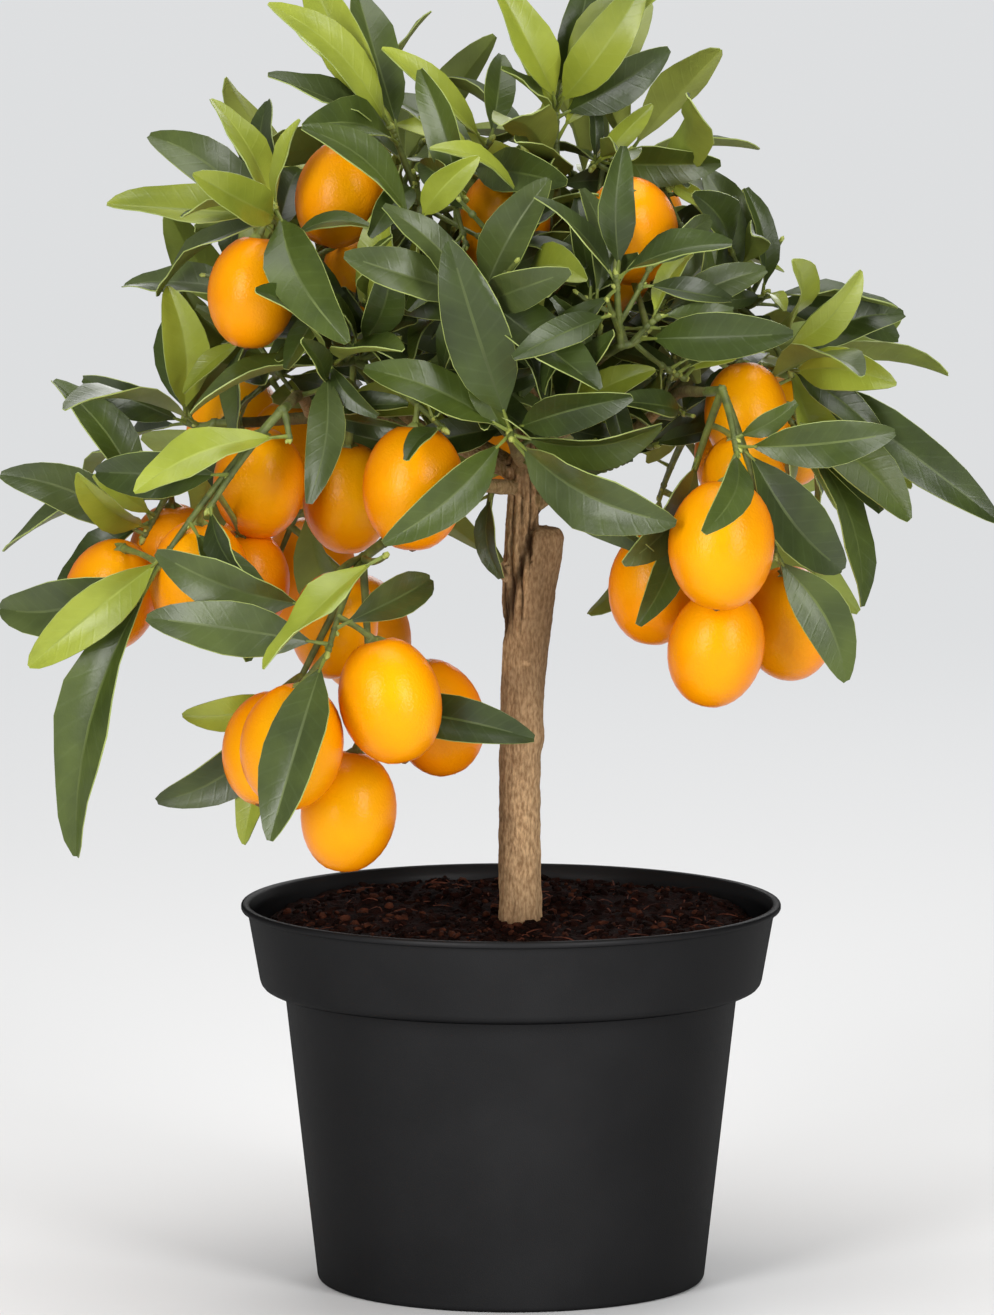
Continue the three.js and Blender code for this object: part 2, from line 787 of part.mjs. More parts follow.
function leafRoot(shoot, share) {
  const t = mix(RULE.leafyFrom, RULE.leafyTo, share);
  return { root: shoot.curve.getPoint(t), axis: shoot.curve.getTangent(t) };
}

// A leaf whose tip is given. It swings a little nearer or further where that way is taken.
function aimedLeaf(mass, shoot, [x, y, z, young, turn], share, draws, attempt) {
  const { root, axis } = leafRoot(shoot, share);
  const shift = RULE.tryShift * Math.ceil(attempt / 2) * (attempt % 2 ? -1 : 1);
  const reach = new THREE.Vector3(x, y + shift, z).sub(root);
  const curl = pick(RULE.aimed.curl, draws[5]);
  const bend = curl / 2 / Math.sin(curl / 2);
  const roll = degrees(turn ?? spread(RULE.aimed.roll, draws[3]));
  const broad = Math.min(reach.length(), LEAF.length * RULE.aimed.longest) * LEAF.widthShare;
  return {
    ...leafPose(mass, axis, reach.clone().normalize(), roll, draws),
    root,
    length: reach.length() * bend,
    width: broad * pick(RULE.aimed.width, draws[4]),
    curl,
    young: young === 1,
    aimed: true,
  };
}

// A leaf of the shoot's spiral. It turns on round the shoot where its way is taken.
function spiralLeaf(mass, shoot, k, share, draws, attempt) {
  const { root, axis } = leafRoot(shoot, share);
  const young = draws[0] < shoot.young * pick(RULE.tipYouth, share);
  const size = pick(RULE.spiral.size, draws[1]) * pick(RULE.tipSize, share);
  const across = squareTo(new THREE.Vector3().crossVectors(UP, axis), axis);
  const over = new THREE.Vector3().crossVectors(axis, across);
  const turn = degrees(shoot.spin + k * GOLDEN_TURN + attempt * RULE.tryTurn);
  const tilt = degrees(pick(RULE.tilt, share) + spread(RULE.tiltSpread, draws[2]));
  const direction = axis
    .clone()
    .multiplyScalar(Math.cos(tilt))
    .addScaledVector(across, Math.sin(tilt) * Math.cos(turn))
    .addScaledVector(over, Math.sin(tilt) * Math.sin(turn))
    .addScaledVector(UP, young ? RULE.rise.young : RULE.rise.mature)
    .normalize();
  const roll = degrees(spread(RULE.spiral.roll, draws[3]));
  const length = LEAF.length * size;
  return {
    ...leafPose(mass, axis, direction, roll, draws),
    root,
    length,
    width: length * LEAF.widthShare * pick(RULE.spiral.width, draws[4]),
    curl: pick(RULE.spiral.curl, draws[5]),
    young,
    aimed: false,
  };
}

function leafPose(mass, axis, direction, roll, draws) {
  const normal = squareTo(vec(mass.sun).addScaledVector(axis, RULE.sunAxis), direction);
  normal.applyAxisAngle(direction, roll);
  return { direction, normal, fold: pick(RULE.fold, draws[6]) };
}

// ---------------------------------------------------------------- solids of twigs, leaves, fruit

function twigSolid(twig, grown = 0) {
  const limb = new Limb([[0, 0, 0], [0, 0, 1]], twig.radii);
  limb.curve = twig.curve;
  return limb.solid(TWIG.sides, twig.steps, grown);
}

// A leaf is a three-sided cone drawn out along its centre line: two edges and a keel. An aimed
// leaf has two stations between its root and its tip, and a leaf of the spiral has one. Its few
// sides would make it slimmer than the true outline, so it is made a little fuller.
function leafSolid(leaf, grown = 0, start = 0) {
  const stations = leaf.aimed ? [start, 0.36, 0.7, 1] : [start, 0.5, 1];
  const fuller = leaf.aimed ? 1.08 : 1.15;
  const rows = stations.length - 1;
  const cone = new THREE.ConeGeometry(1, 1, 3, rows);
  const corner = Math.sin(Math.PI / 3);
  const thick = leaf.length * LEAF.thickShare;
  return solidOf(
    shaped(cone, (p) => {
      const row = Math.round((p.y + 0.5) * rows);
      const u = stations[row];
      const ring = 1 - row / rows;
      const edge = ring > 0 ? p.x / ring / corner : 0;
      const keel = ring > 0 ? Math.max(p.z / ring, 0) : 0;
      const { along, side, face } = leafFrame(leaf, u);
      const half = Math.max(leafHalfWidth(leaf, u) * fuller, LEAF.stalk) + grown;
      const deep = u > 0 ? thick : LEAF.stalk;
      const lifted = Math.abs(edge) * half * leaf.fold + grown;
      p.copy(leafPoint(leaf, u))
        .addScaledVector(side, -edge * half)
        .addScaledVector(face, lifted - keel * (deep + 2 * grown))
        .addScaledVector(along, row === rows ? grown : row === 0 ? LEAF.outset : 0);
    }),
  );
}

function fruitSolid(fruit, grown = 0) {
  const globe = new THREE.SphereGeometry(1, FRUIT_SIDES, FRUIT_SIDES / 2);
  const across = squareTo(new THREE.Vector3(1, 0, 0), fruit.axis);
  const third = new THREE.Vector3().crossVectors(across, fruit.axis);
  return solidOf(
    shaped(globe, (p) => {
      const [x, y, z] = [p.x, p.y, p.z];
      p.copy(fruit.centre)
        .addScaledVector(across, x * (fruit.radius + grown))
        .addScaledVector(third, z * (fruit.radius + grown))
        .addScaledVector(fruit.axis, y * (fruit.halfLength + grown));
    }),
  );
}

// The stalk enters the fruit beside its pole, in the middle of one face.
const FRUIT_SIDES = 8;

function stalkOf(fruit) {
  const across = squareTo(new THREE.Vector3(1, 0, 0), fruit.axis);
  const third = new THREE.Vector3().crossVectors(across, fruit.axis);
  const beside = fruit.top
    .clone()
    .addScaledVector(across, -FRUIT.stalkOffset * Math.cos(Math.PI / FRUIT_SIDES))
    .addScaledVector(third, FRUIT.stalkOffset * Math.sin(Math.PI / FRUIT_SIDES));
  const curve = bowed(fruit.anchor, beside, FRUIT.stalkBow);
  return { curve, radii: [FRUIT.stalk, FRUIT.stalk], steps: 1 };
}

// ---------------------------------------------------------------- masses

// What each mass holds so far. Nothing may come within GAP of another mass or of a limb.
const held = {};
for (const name of Object.keys(MASSES)) held[name] = [];
const limbParts = Object.values(limbSolids).map((solid) => ({ solid, box: solid.boundingBox() }));

function touches(name, grownSolid) {
  const box = grownSolid.boundingBox();
  const meets = (part) =>
    boxesMeet(box, part.box) && !grownSolid.intersect(part.solid).isEmpty();
  if (limbParts.some(meets)) return true;
  return Object.keys(held).some((other) => other !== name && held[other].some(meets));
}

// The blade past the place where the leaf stands clear of its twig may not cross its own mass.
const CLEAR_OF_TWIG = 0.15; // share of the leaf's length

function crosses(name, blade) {
  const box = blade.boundingBox();
  return held[name].some(
    (part) => boxesMeet(box, part.box) && !blade.intersect(part.solid).isEmpty(),
  );
}

function keep(name, solid) {
  held[name].push({ solid, box: solid.boundingBox() });
}

const FIRST_SEED = 100;
const SEED_STEP = 17;
const grown = {};
Object.entries(MASSES).forEach(([name, mass], index) => {
  grown[name] = growShoots(name, mass, FIRST_SEED + index * SEED_STEP);
  grown[name].fruit = growFruit(mass, grown[name].shoots);
});
const allFruit = Object.values(grown).flatMap((mass) => mass.fruit);

// Twigs come first, then the fruit that hangs from them.
for (const [name, mass] of Object.entries(grown)) {
  keep(name, twigSolid(mass.stem).subtract(grownLimbs[name]));
  mass.shoots = mass.shoots.filter((shoot) => {
    const free = !touches(name, twigSolid(shoot, GAP));
    if (free) keep(name, twigSolid(shoot));
    return free;
  });
}
for (const [name, mass] of Object.entries(grown)) {
  for (const fruit of mass.fruit) {
    const stalk = stalkOf(fruit);
    if (touches(name, fruitSolid(fruit, GAP)) || touches(name, twigSolid(stalk, GAP))) continue;
    keep(name, fruitSolid(fruit));
    keep(name, twigSolid(stalk));
  }
}

// A leaf takes the first of its poses that is free. One with no free pose is left out.
function placeLeaf(name, pose) {
  for (let attempt = 0; attempt < RULE.tries; attempt++) {
    const leaf = pose(attempt);
    if (blocked(leaf, allFruit) || touches(name, leafSolid(leaf, GAP))) continue;
    if (crosses(name, leafSolid(leaf, 0, CLEAR_OF_TWIG))) continue;
    keep(name, leafSolid(leaf));
    return;
  }
}

// The aimed leaves of every mass come first, then the spirals fill the space that is left.
function fillWith(isAimed) {
  for (const [name, mass] of Object.entries(grown)) {
    for (const shoot of mass.shoots) {
      const leaves = growLeaves(MASSES[name], shoot);
      const count = shoot.aims.length;
      const wanted = isAimed ? leaves.slice(0, count) : leaves.slice(count);
      for (const pose of wanted) placeLeaf(name, pose);
    }
  }
}

fillWith(true);
fillWith(false);

function massSolid(name) {
  return largest(wasm.Manifold.union(held[name].map((part) => part.solid)));
}

// ---------------------------------------------------------------- pot and soil

// The pot's outer outline from the middle of its underside up to the lip.
function potOutline() {
  const shape = new THREE.Path();
  const collarFoot = POT.height - POT.collarHeight;
  shape.moveTo(0, 0);
  shape.lineTo(POT.footRadius - POT.footRound, 0);
  shape.quadraticCurveTo(POT.footRadius, 0, POT.footRadius + 0.2, POT.footRound);
  shape.lineTo(POT.bodyTopRadius, collarFoot);
  shape.lineTo(POT.collarFootRadius - POT.collarRound, collarFoot);
  shape.quadraticCurveTo(
    POT.collarFootRadius,
    collarFoot,
    POT.collarFootRadius + 0.6,
    collarFoot + POT.collarRound,
  );
  shape.lineTo(POT.collarTopRadius, POT.height - POT.lipHeight);
  shape.lineTo(POT.rimRadius, POT.height - POT.lipHeight);
  shape.lineTo(POT.rimRadius, POT.height);
  return shape.getPoints(2);
}

// The pot's inner outline from the bevel under its rim down to the middle of its floor.
function potInside(shrunk) {
  const w = POT.wall + shrunk;
  const collarFoot = POT.height - POT.collarHeight;
  const collarSlope = (POT.collarTopRadius - POT.collarFootRadius) / POT.collarHeight;
  const step = collarFoot + w;
  const bevelFoot = POT.height - POT.rimBevel;
  return [
    new THREE.Vector2(POT.collarTopRadius - collarSlope * POT.rimBevel - w, bevelFoot),
    new THREE.Vector2(POT.collarFootRadius + collarSlope * w - w, step),
    new THREE.Vector2(POT.bodyTopRadius - w, step),
    new THREE.Vector2(POT.footRadius - w, w),
    new THREE.Vector2(0, w),
  ];
}

// Turns an outline, in order from the axis round to the axis, into a closed solid.
function turned(outline, sides) {
  const lathe = new THREE.LatheGeometry(outline, sides);
  return shaped(lathe, (p) => p.set(p.x, -p.z, p.y));
}

function potSolid() {
  const rim = new THREE.Vector2(POT.rimRadius - POT.rimWidth, POT.height);
  const shell = solidOf(turned([...potOutline(), rim, ...potInside(0)], POT.sides));
  const drill = new THREE.CylinderGeometry(POT.drainRadius, POT.drainRadius, 10, 8);
  let pot = shell;
  for (let k = 0; k < POT.drainHoles; k++) {
    const angle = (k / POT.drainHoles) * Math.PI * 2;
    const x = POT.drainRing * Math.cos(angle);
    const y = POT.drainRing * Math.sin(angle);
    pot = pot.subtract(solidOf(shaped(drill, (p) => p.set(p.x + x, -p.z + y, p.y))));
  }
  return pot;
}

// Soil fills the pot to SOIL.top, a little lower at the wall, and lies GAP clear of it.
function soilSolid() {
  const inside = potInside(GAP);
  const edge = SOIL.top - SOIL.crumble;
  const slope = (inside[0].x - inside[1].x) / (inside[0].y - inside[1].y);
  const edgeRadius = inside[1].x + slope * (edge - inside[1].y);
  const outline = [
    inside[4],
    inside[3],
    inside[2],
    inside[1],
    new THREE.Vector2(edgeRadius, edge),
    new THREE.Vector2(edgeRadius * 0.8, SOIL.top),
    new THREE.Vector2(0, SOIL.top),
  ];
  return solidOf(turned(outline, POT.sides));
}

// ---------------------------------------------------------------- materials and scene graph

const MATERIALS = {
  pot: new THREE.MeshStandardMaterial({ color: 0x26272a, roughness: 0.45, metalness: 0 }),
  soil: new THREE.MeshStandardMaterial({ color: 0x2a1a12, roughness: 1, metalness: 0 }),
  bark: new THREE.MeshStandardMaterial({ color: 0x8a7458, roughness: 0.9, metalness: 0 }),
  foliage: new THREE.MeshStandardMaterial({ color: 0x46603a, roughness: 0.5, metalness: 0 }),
};

const tree = new THREE.Group();

function addNode(name, solid, material) {
  const mesh = new THREE.Mesh(geometryOf(solid), material);
  mesh.name = name;
  tree.add(mesh);
}

addNode("pot", potSolid(), MATERIALS.pot);
addNode("soil", soilSolid(), MATERIALS.soil);
addNode("trunk", limbSolids.trunk, MATERIALS.bark);
for (const name of Object.keys(BOUGHS)) addNode(`bough_${name}`, limbSolids[name], MATERIALS.bark);
for (const name of Object.keys(MASSES)) addNode(`mass_${name}`, massSolid(name), MATERIALS.foliage);

export default tree;
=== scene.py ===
# %% [markdown]
# # A young kumquat tree in a nursery pot
# This notebook dresses a finished construction model. The model gives the places and the sizes,
# and every step here gives one part of the plant its looks. Lengths are written in millimetres,
# as a maker would write them, and MM turns them into Blender's metres.

# %% Load the frame
import math

import bpy
import numpy as np
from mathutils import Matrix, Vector, kdtree, noise
from mathutils.bvhtree import BVHTree


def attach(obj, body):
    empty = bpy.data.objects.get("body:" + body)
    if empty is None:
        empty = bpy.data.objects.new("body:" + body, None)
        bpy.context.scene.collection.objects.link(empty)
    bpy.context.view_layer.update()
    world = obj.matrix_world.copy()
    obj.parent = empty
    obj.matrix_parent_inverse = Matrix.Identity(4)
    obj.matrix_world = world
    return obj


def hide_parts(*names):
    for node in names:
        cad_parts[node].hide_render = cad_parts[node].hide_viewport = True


MM = 0.001
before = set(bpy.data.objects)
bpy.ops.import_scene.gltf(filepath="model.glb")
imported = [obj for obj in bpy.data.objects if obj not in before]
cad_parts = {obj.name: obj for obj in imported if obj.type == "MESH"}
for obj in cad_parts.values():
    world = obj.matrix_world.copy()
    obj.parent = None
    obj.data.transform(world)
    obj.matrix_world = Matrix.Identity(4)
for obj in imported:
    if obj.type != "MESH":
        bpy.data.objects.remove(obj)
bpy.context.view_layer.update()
bpy.ops.object.select_all(action="DESELECT")

# %% [markdown]
# ## The camera
# A long lens from three metres away keeps the pot's sides nearly parallel, and a look down of
# seven degrees opens the pot's rim so that the soil shows. The lens is worked out from how many
# picture heights away the camera stands.

# %% Camera
CAMERA_PLACE = Vector((-4.4, -3000, 568.4)) * MM
CAMERA_PITCH = math.radians(7.05)
SENSOR = 36
PICTURE_HEIGHTS = 7.324  # focal length, in heights of the picture


def new_object(name, data):
    made = bpy.data.objects.new(name, data)
    bpy.context.collection.objects.link(made)
    return made


camera = new_object("camera", bpy.data.cameras.new("camera"))
camera.data.sensor_width = SENSOR
camera.data.lens = SENSOR * PICTURE_HEIGHTS
camera.location = CAMERA_PLACE
camera.rotation_euler = (math.pi / 2 - CAMERA_PITCH, 0, 0)
bpy.context.scene.camera = camera
print("lens, mm:", round(camera.data.lens, 1))

# %% [markdown]
# ## The tree as a plan
# The rootstock and the scion are stations with a radius each. A bough is the limb that it
# leaves, how far along that limb, its tip, its two radii and how far it bows. A mass of foliage
# is the side that its leaves face, its shoots and its fruit. A shoot is its tip, its number of
# leaves, the turn of its spiral, its share of young leaves, and the tips of its most prominent
# leaves, each with 1 for a young one and with the turn of the blade where that matters. A fruit
# is its centre and its size. The construction model follows the same plan.

# %% The limbs in the plan
SOIL_TOP = 112
GAP = 0.3
STOCK = [
    (3, 0, SOIL_TOP + GAP, 7.4), (3, 0, 119, 6.9), (2.7, 0.3, 145, 6.7), (2.9, 0.2, 171, 6.7),
    (4.6, 0, 200, 7.4), (6.2, 0, 217, 7.9), (8.6, 0, 229, 7.4), (9.6, 0, 236, 7),
    (9.8, 0, 238.4, 5.4),
]
SCION = [
    (3.4, 0.4, 196, 4.2), (2.4, 0, 212, 5.2), (3.2, -0.4, 228, 5.5), (3.9, -0.4, 242, 5.2),
    (3.9, 0.2, 254, 4.8), (4.6, 1.2, 266, 4.3),
]
BOUGHS = {
    "leader": ("trunk", 0.99, (13, 3, 320), (2.8, 1.9), 0),
    "upper_left": ("trunk", 0.9, (-24, -2, 330), (2.6, 1.8), -6),
    "left_top": ("upper_left", 0.5, (-60, -16, 316), (2.1, 1.6), 3),
    "left_middle": ("trunk", 0.8, (-84, -6, 272), (2.6, 1.7), 10),
    "left_low": ("left_middle", 0.75, (-69, -56, 282), (2.0, 1.6), 5),
    "low_left": ("trunk", 0.75, (-40, -42, 238), (2.5, 1.7), 8),
    "left_inner": ("left_middle", 0.32, (-44, -24, 288), (2.1, 1.6), -2),
    "front_middle": ("trunk", 0.88, (0, -36, 272), (2.3, 1.7), -2),
    "front_top": ("leader", 0.3, (-8, -36, 308), (2.1, 1.6), -2),
    "front_right": ("leader", 0.42, (30, -48, 298), (2.1, 1.6), -4),
    "upper_right": ("leader", 0.85, (30, 20, 346), (2.0, 1.6), 2),
    "right_middle": ("trunk", 0.62, (58, -10, 288), (2.7, 1.8), -3),
    "right_top": ("right_middle", 0.62, (66, 6, 300), (2.0, 1.6), -2),
    "right_low": ("right_middle", 0.7, (61, -50, 286), (2.0, 1.6), 4),
    "sprout": ("trunk", 0.3, (-4.6, -6, 230), (1.8, 1.5), -2),
    "back_left": ("trunk", 0.84, (-46, 46, 290), (2.5, 1.7), -4),
    "back_left_low": ("back_left", 0.6, (-52, 62, 262), (2.0, 1.6), 6),
    "back_left_top": ("upper_left", 0.45, (-26, 34, 328), (2.0, 1.6), -2),
    "back_right": ("trunk", 0.94, (50, 44, 292), (2.5, 1.7), -4),
    "back_right_low": ("back_right", 0.6, (52, 64, 264), (2.0, 1.6), 6),
    "back_right_top": ("leader", 0.8, (26, 36, 334), (2.0, 1.6), -2),
    "back_middle": ("trunk", 0.97, (2, 48, 294), (2.3, 1.7), -3),
}
print("boughs:", len(BOUGHS))

# %% The foliage in the plan
MASSES = {
    "leader": ((0.1, -0.8, 0.6), [
        ((14, 0, 375), 3, 150, 0.6, [(-3, -14, 383, 0), (49, -10, 389, 0, 50), (0, 8, 392, 1),
            (-6, -12, 411, 1), (50, -16, 411, 1), (25, 8, 413, 0)]),
        ((4, 12, 356), 4, 40, 0.4, []),
    ], []),
    "upper_left": ((-0.2, -0.8, 0.6), [
        ((-37, -14, 365), 2, 160, 0.5, [(-64, -46, 367, 0), (-75, -38, 382, 0), (-75, -26, 404, 1),
            (-64, -6, 414, 1)]),
        ((-6, -10, 361), 1, 268, 0.5, [(-36, -4, 365, 1), (-43, 6, 374, 0), (-40, -24, 390, 1),
            (-3, 10, 386, 0)]),
        ((-14, -38, 344), 0, 0, 0.3, [(-24, -30, 363, 1), (-28, -32, 384, 0)]),
        ((-29, -50, 336), 0, 0, 0.3, [(-10, -58, 359, 1, 20), (-64, -60, 368, 0, 40)]),
    ], [(-53, -20, 344.5, 0.87)]),
    "left_top": ((-0.3, -0.8, 0.5), [
        ((-73, -32, 342), 2, 10, 0.2, [(-76, 4, 372, 0), (-110, -14, 312, 0, 30),
            (-93, -18, 374, 1, 45), (-125, -28, 342, 1), (-101, -44, 340, 0, 60),
            (-76, -62, 307, 0, 60), (-65, -40, 369, 1), (-50, -72, 303, 0, 0)]),
        ((-83, -8, 297), 3, 90, 0.3, [(-98, -14, 309, 0), (-102, -14, 282, 1)]),
    ], [(-80, -36, 315.5, 0.9), (-45, 8, 316, 0.85)]),
    "left_middle": ((-0.3, -0.8, 0.5), [
        ((-102, -2, 272), 3, 60, 0.3, [(-134, 4, 285, 0), (-107, -8, 315, 1, 50)]),
        ((-115, -14, 236), 3, 0, 0.3, [(-130, -20, 257, 1), (-143, -4, 285, 0, 45),
            (-134, -42, 260, 1), (-159, -18, 257, 0)]),
    ], [(-106, -4, 229, 0.9)]),
    "left_low": ((-0.2, -0.9, 0.4), [
        ((-93, -68, 251), 1, 258, 0.2, [(-80, -88, 231, 0)]),
        ((-112, -66, 228), 1, 168, 0, [(-148, -68, 203, 1), (-134, -60, 143, 0, 14),
            (-158, -44, 218, 0)]),
        ((-68, -65, 273), 0, 0, 0.2, [(-115, -80, 258, 1, 38)]),
    ], [(-96, -56, 228, 0.98), (-124, -34, 221, 0.95), (-78, -34, 256, 0.92),
        (-82, -26, 225, 0.85)]),
    "low_left": ((-0.1, -0.9, 0.4), [
        ((-56, -96, 210), 0, 90, 0.2, [(-25, -50, 228, 0), (-30, -74, 222, 0, 50),
            (-94, -74, 188, 0), (-111, -92, 221, 0, 0), (-73, -117, 156, 0, 10)]),
        ((-43, -62, 187), 1, 10, 0.1, [(-26, -52, 202, 0), (7, -92, 182, 0)]),
        ((-73, -34, 179), 0, 10, 0.1, [(-102, -38, 184, 1), (-110, -44, 157, 0),
            (-83, -48, 144, 1)]),
        ((-61, -82, 222), 0, 0, 0.1, [(-108, -92, 241, 0, -25)]),
        ((-38, -90, 240), 0, 0, 0.1, [(-75, -100, 208, 1, 46)]),
    ], [(-37, -88, 195, 1), (-67, -88, 181, 1), (-50, -66, 158, 0.97), (-23, -50, 185, 0.95),
        (-75, -56, 176, 0.92), (-55, -28, 211, 0.88)]),
    "left_inner": ((-0.2, -0.8, 0.6), [
        ((-57, -46, 295), 3, 240, 0.1, [(-62, -66, 253, 0), (-41, -56, 279, 0)]),
        ((-20, -62, 275), 2, 100, 0.1, [(-44, -60, 301, 0, 60), (-32, -82, 268, 0)]),
        ((-35, -38, 301), 2, 320, 0.1, []),
    ], [(-30, -56, 257, 1), (-51, -12, 249, 0.9)]),
    "front_middle": ((0, -0.8, 0.6), [
        ((0, -66, 273), 1, 290, 0.1, [(-19, -82, 335, 0), (-45, -70, 295, 0), (-39, -86, 243, 0),
            (46, -62, 277, 0, 62), (50, -86, 250, 0, 45), (44, -72, 238, 0, 55)]),
    ], []),
    "front_top": ((-0.1, -0.8, 0.6), [
        ((-9, -60, 315), 3, 150, 0, [(-39, -72, 345, 0, 0), (-51, -74, 330, 0, 0)]),
        ((-2, -50, 333), 0, 0, 0.5, [(23, -60, 325, 0, -20)]),
        ((4, -40, 346), 0, 0, 0.1, [(-25, -52, 361, 1, 10)]),
    ], [(-2, -8, 335, 0.9)]),
    "front_right": ((0.2, -0.8, 0.6), [
        ((32, -66, 324), 0, 0, 0.1, [(10, -66, 287, 0), (7, -66, 347, 0), (67, -80, 334, 0),
            (34, -70, 363, 0)]),
        ((42, -52, 305), 1, 200, 0.1, []),
    ], [(37, -32, 334, 0.95), (31, -2, 320, 0.85)]),
    "upper_right": ((0.3, -0.7, 0.7), [
        ((25, -2, 351), 2, 90, 0.4, [(65, -16, 354, 0, 50), (25, 4, 373, 0), (44, 0, 371, 1)]),
        ((49, -6, 345), 1, 10, 0, [(64, -10, 338, 1), (55, -26, 346, 0), (54, 12, 363, 0)]),
    ], []),
    "right_middle": ((0.3, -0.8, 0.5), [
        ((92, -14, 267), 3, 90, 0.3, [(125, -10, 252, 1), (115, -24, 246, 0), (109, -30, 217, 0)]),
    ], [(73, -22, 276, 0.85)]),
    "right_top": ((0.3, -0.8, 0.5), [
        ((80, 2, 312), 2, 120, 0.2, [(73, -2, 345, 0), (59, -10, 311, 0), (85, -18, 308, 1)]),
        ((87, -10, 288), 2, 70, 0.4, [(109, -10, 320, 1), (123, 6, 305, 0), (152, -16, 242, 0),
            (116, -28, 269, 0), (119, -36, 287, 1)]),
    ], []),
    "right_low": ((0.1, -0.9, 0.4), [
        ((69, -75, 269), 0, 0, 0, [(87, -74, 285, 0), (102, -66, 231, 0), (117, -76, 276, 0),
            (58, -111, 249, 0)]),
        ((52, -40, 245), 2, 110, 0.1, [(39, -62, 215, 0)]),
        ((81, -66, 237), 0, 0, 0, [(103, -64, 198, 0, 10)]),
    ], [(64, -80, 242, 1.03), (63, -58, 207.5, 0.95), (45, -34, 224, 0.95), (86, -32, 212, 0.95),
        (72, -44, 256, 0.85)]),
    "sprout": ((-0.3, -0.8, 0.5), [
        ((-6, -9, 252), 0, 0, 0.3, [(-20, 2, 237, 0), (-3, -14, 224, 0)]),
    ], []),
    "back_left": ((-0.4, 0.7, 0.6), [
        ((-84, 58, 300), 5, 0, 0.4, []),
        ((-92, 36, 268), 5, 80, 0.2, []),
        ((-52, 82, 306), 4, 200, 0.2, []),
    ], [(-88, 64, 262, 1), (-70, 32, 258, 0.9)]),
    "back_left_low": ((-0.3, 0.8, 0.5), [
        ((-74, 78, 222), 5, 40, 0.2, []),
        ((-48, 92, 240), 5, 130, 0.1, []),
    ], [(-66, 96, 212, 1), (-48, 72, 196, 1), (-90, 74, 214, 0.95)]),
    "back_left_top": ((-0.3, 0.7, 0.7), [
        ((-44, 40, 362), 5, 30, 0.5, []),
        ((-62, 56, 334), 5, 150, 0.3, []),
        ((-14, 64, 346), 4, 270, 0.3, []),
    ], [(-40, 66, 317, 0.95)]),
    "back_right": ((0.4, 0.7, 0.6), [
        ((80, 56, 284), 5, 0, 0.4, []),
        ((94, 36, 266), 5, 80, 0.2, []),
        ((58, 82, 302), 4, 200, 0.2, []),
    ], [(88, 62, 264, 1), (72, 34, 258, 0.9)]),
    "back_right_low": ((0.3, 0.8, 0.5), [
        ((74, 76, 224), 5, 60, 0.2, []),
        ((48, 92, 238), 2, 60, 0.1, []),
    ], [(66, 96, 214, 1), (54, 66, 214, 1)]),
    "back_right_top": ((0.3, 0.7, 0.7), [
        ((38, 40, 354), 5, 50, 0.5, []),
        ((48, 58, 318), 5, 170, 0.3, []),
        ((20, 66, 344), 4, 290, 0.3, []),
    ], [(40, 64, 332, 0.95)]),
    "back_middle": ((0, 0.8, 0.6), [
        ((-6, 98, 306), 5, 40, 0.3, []),
        ((-18, 100, 274), 5, 150, 0.1, []),
        ((22, 98, 272), 4, 260, 0.1, []),
    ], [(0, 96, 258, 1), (12, 82, 284, 0.9)]),
}
print("prominent leaves:", sum(len(shoot[4]) for mass in MASSES.values() for shoot in mass[1]))

# %% [markdown]
# ## Curves
# A limb is a smooth curve through its stations, and a shoot is a simple arc with its middle
# raised or lowered. Both are plain functions of a share from 0 to 1.

# %% Directions
UP, SIDEWAYS = np.array([0.0, 0.0, 1.0]), np.array([1.0, 0.0, 0.0])
TINY = 1e-4


def unit(v):
    return v / np.linalg.norm(v)


def mix(a, b, t):
    return a + (b - a) * t


def square_to(direction, axis):
    """A direction made square to an axis, or a spare one where it runs along the axis."""
    made = direction - axis * (direction @ axis)
    return unit(SIDEWAYS - axis * axis[0] if made @ made < TINY else made)


def basis_of(axis):
    """Three directions, square to one another, of which the last is the axis."""
    across = square_to(SIDEWAYS, axis)
    return np.array([across, np.cross(axis, across), axis])


def turned(v, axis, angle):
    cos, sin = math.cos(angle), math.sin(angle)
    return v * cos + np.cross(axis, v) * sin + axis * (axis @ v) * (1 - cos)


print("up, given a quarter turn about the side:", turned(UP, SIDEWAYS, math.pi / 2).round(1))


# %% Curves
def knot_curve(points):
    """A curve through the points that doesn't overshoot where they lie unevenly."""
    p = np.array(points, float)
    p = np.vstack([2 * p[0] - p[1], p, 2 * p[-1] - p[-2]])

    def at(t):
        place = min(max(t, 0), 1) * (len(p) - 3)
        k = min(int(place), len(p) - 4)
        w = place - k
        a, b, c, d = p[k:k + 4]
        ab, bc, cd = (math.sqrt(np.linalg.norm(v)) for v in (b - a, c - b, d - c))
        out = ((b - a) / ab - (c - a) / (ab + bc) + (c - b) / bc) * bc
        into = ((c - b) / bc - (d - b) / (bc + cd) + (d - c) / cd) * bc
        bend = -3 * b + 3 * c - 2 * out - into
        return b + out * w + bend * w ** 2 + (2 * b - 2 * c + out + into) * w ** 3

    return at


def arc_curve(start, end, lift):
    """An arc between two points. lift raises its middle handle."""
    handle = (start + end) / 2 + UP * lift
    return lambda t: start * (1 - t) ** 2 + handle * 2 * t * (1 - t) + end * t ** 2


def heading(at, t):
    return unit(at(min(t + TINY, 1)) - at(max(t - TINY, 0)))


def along(at, steps):
    return np.array([at(k / steps) for k in range(steps + 1)])


def radius_at(radii, t):
    """The radius at a share of a limb's length, from a list of radii at even steps."""
    place = t * (len(radii) - 1)
    low = min(int(place), len(radii) - 2)
    return mix(radii[low], radii[low + 1], place - low)


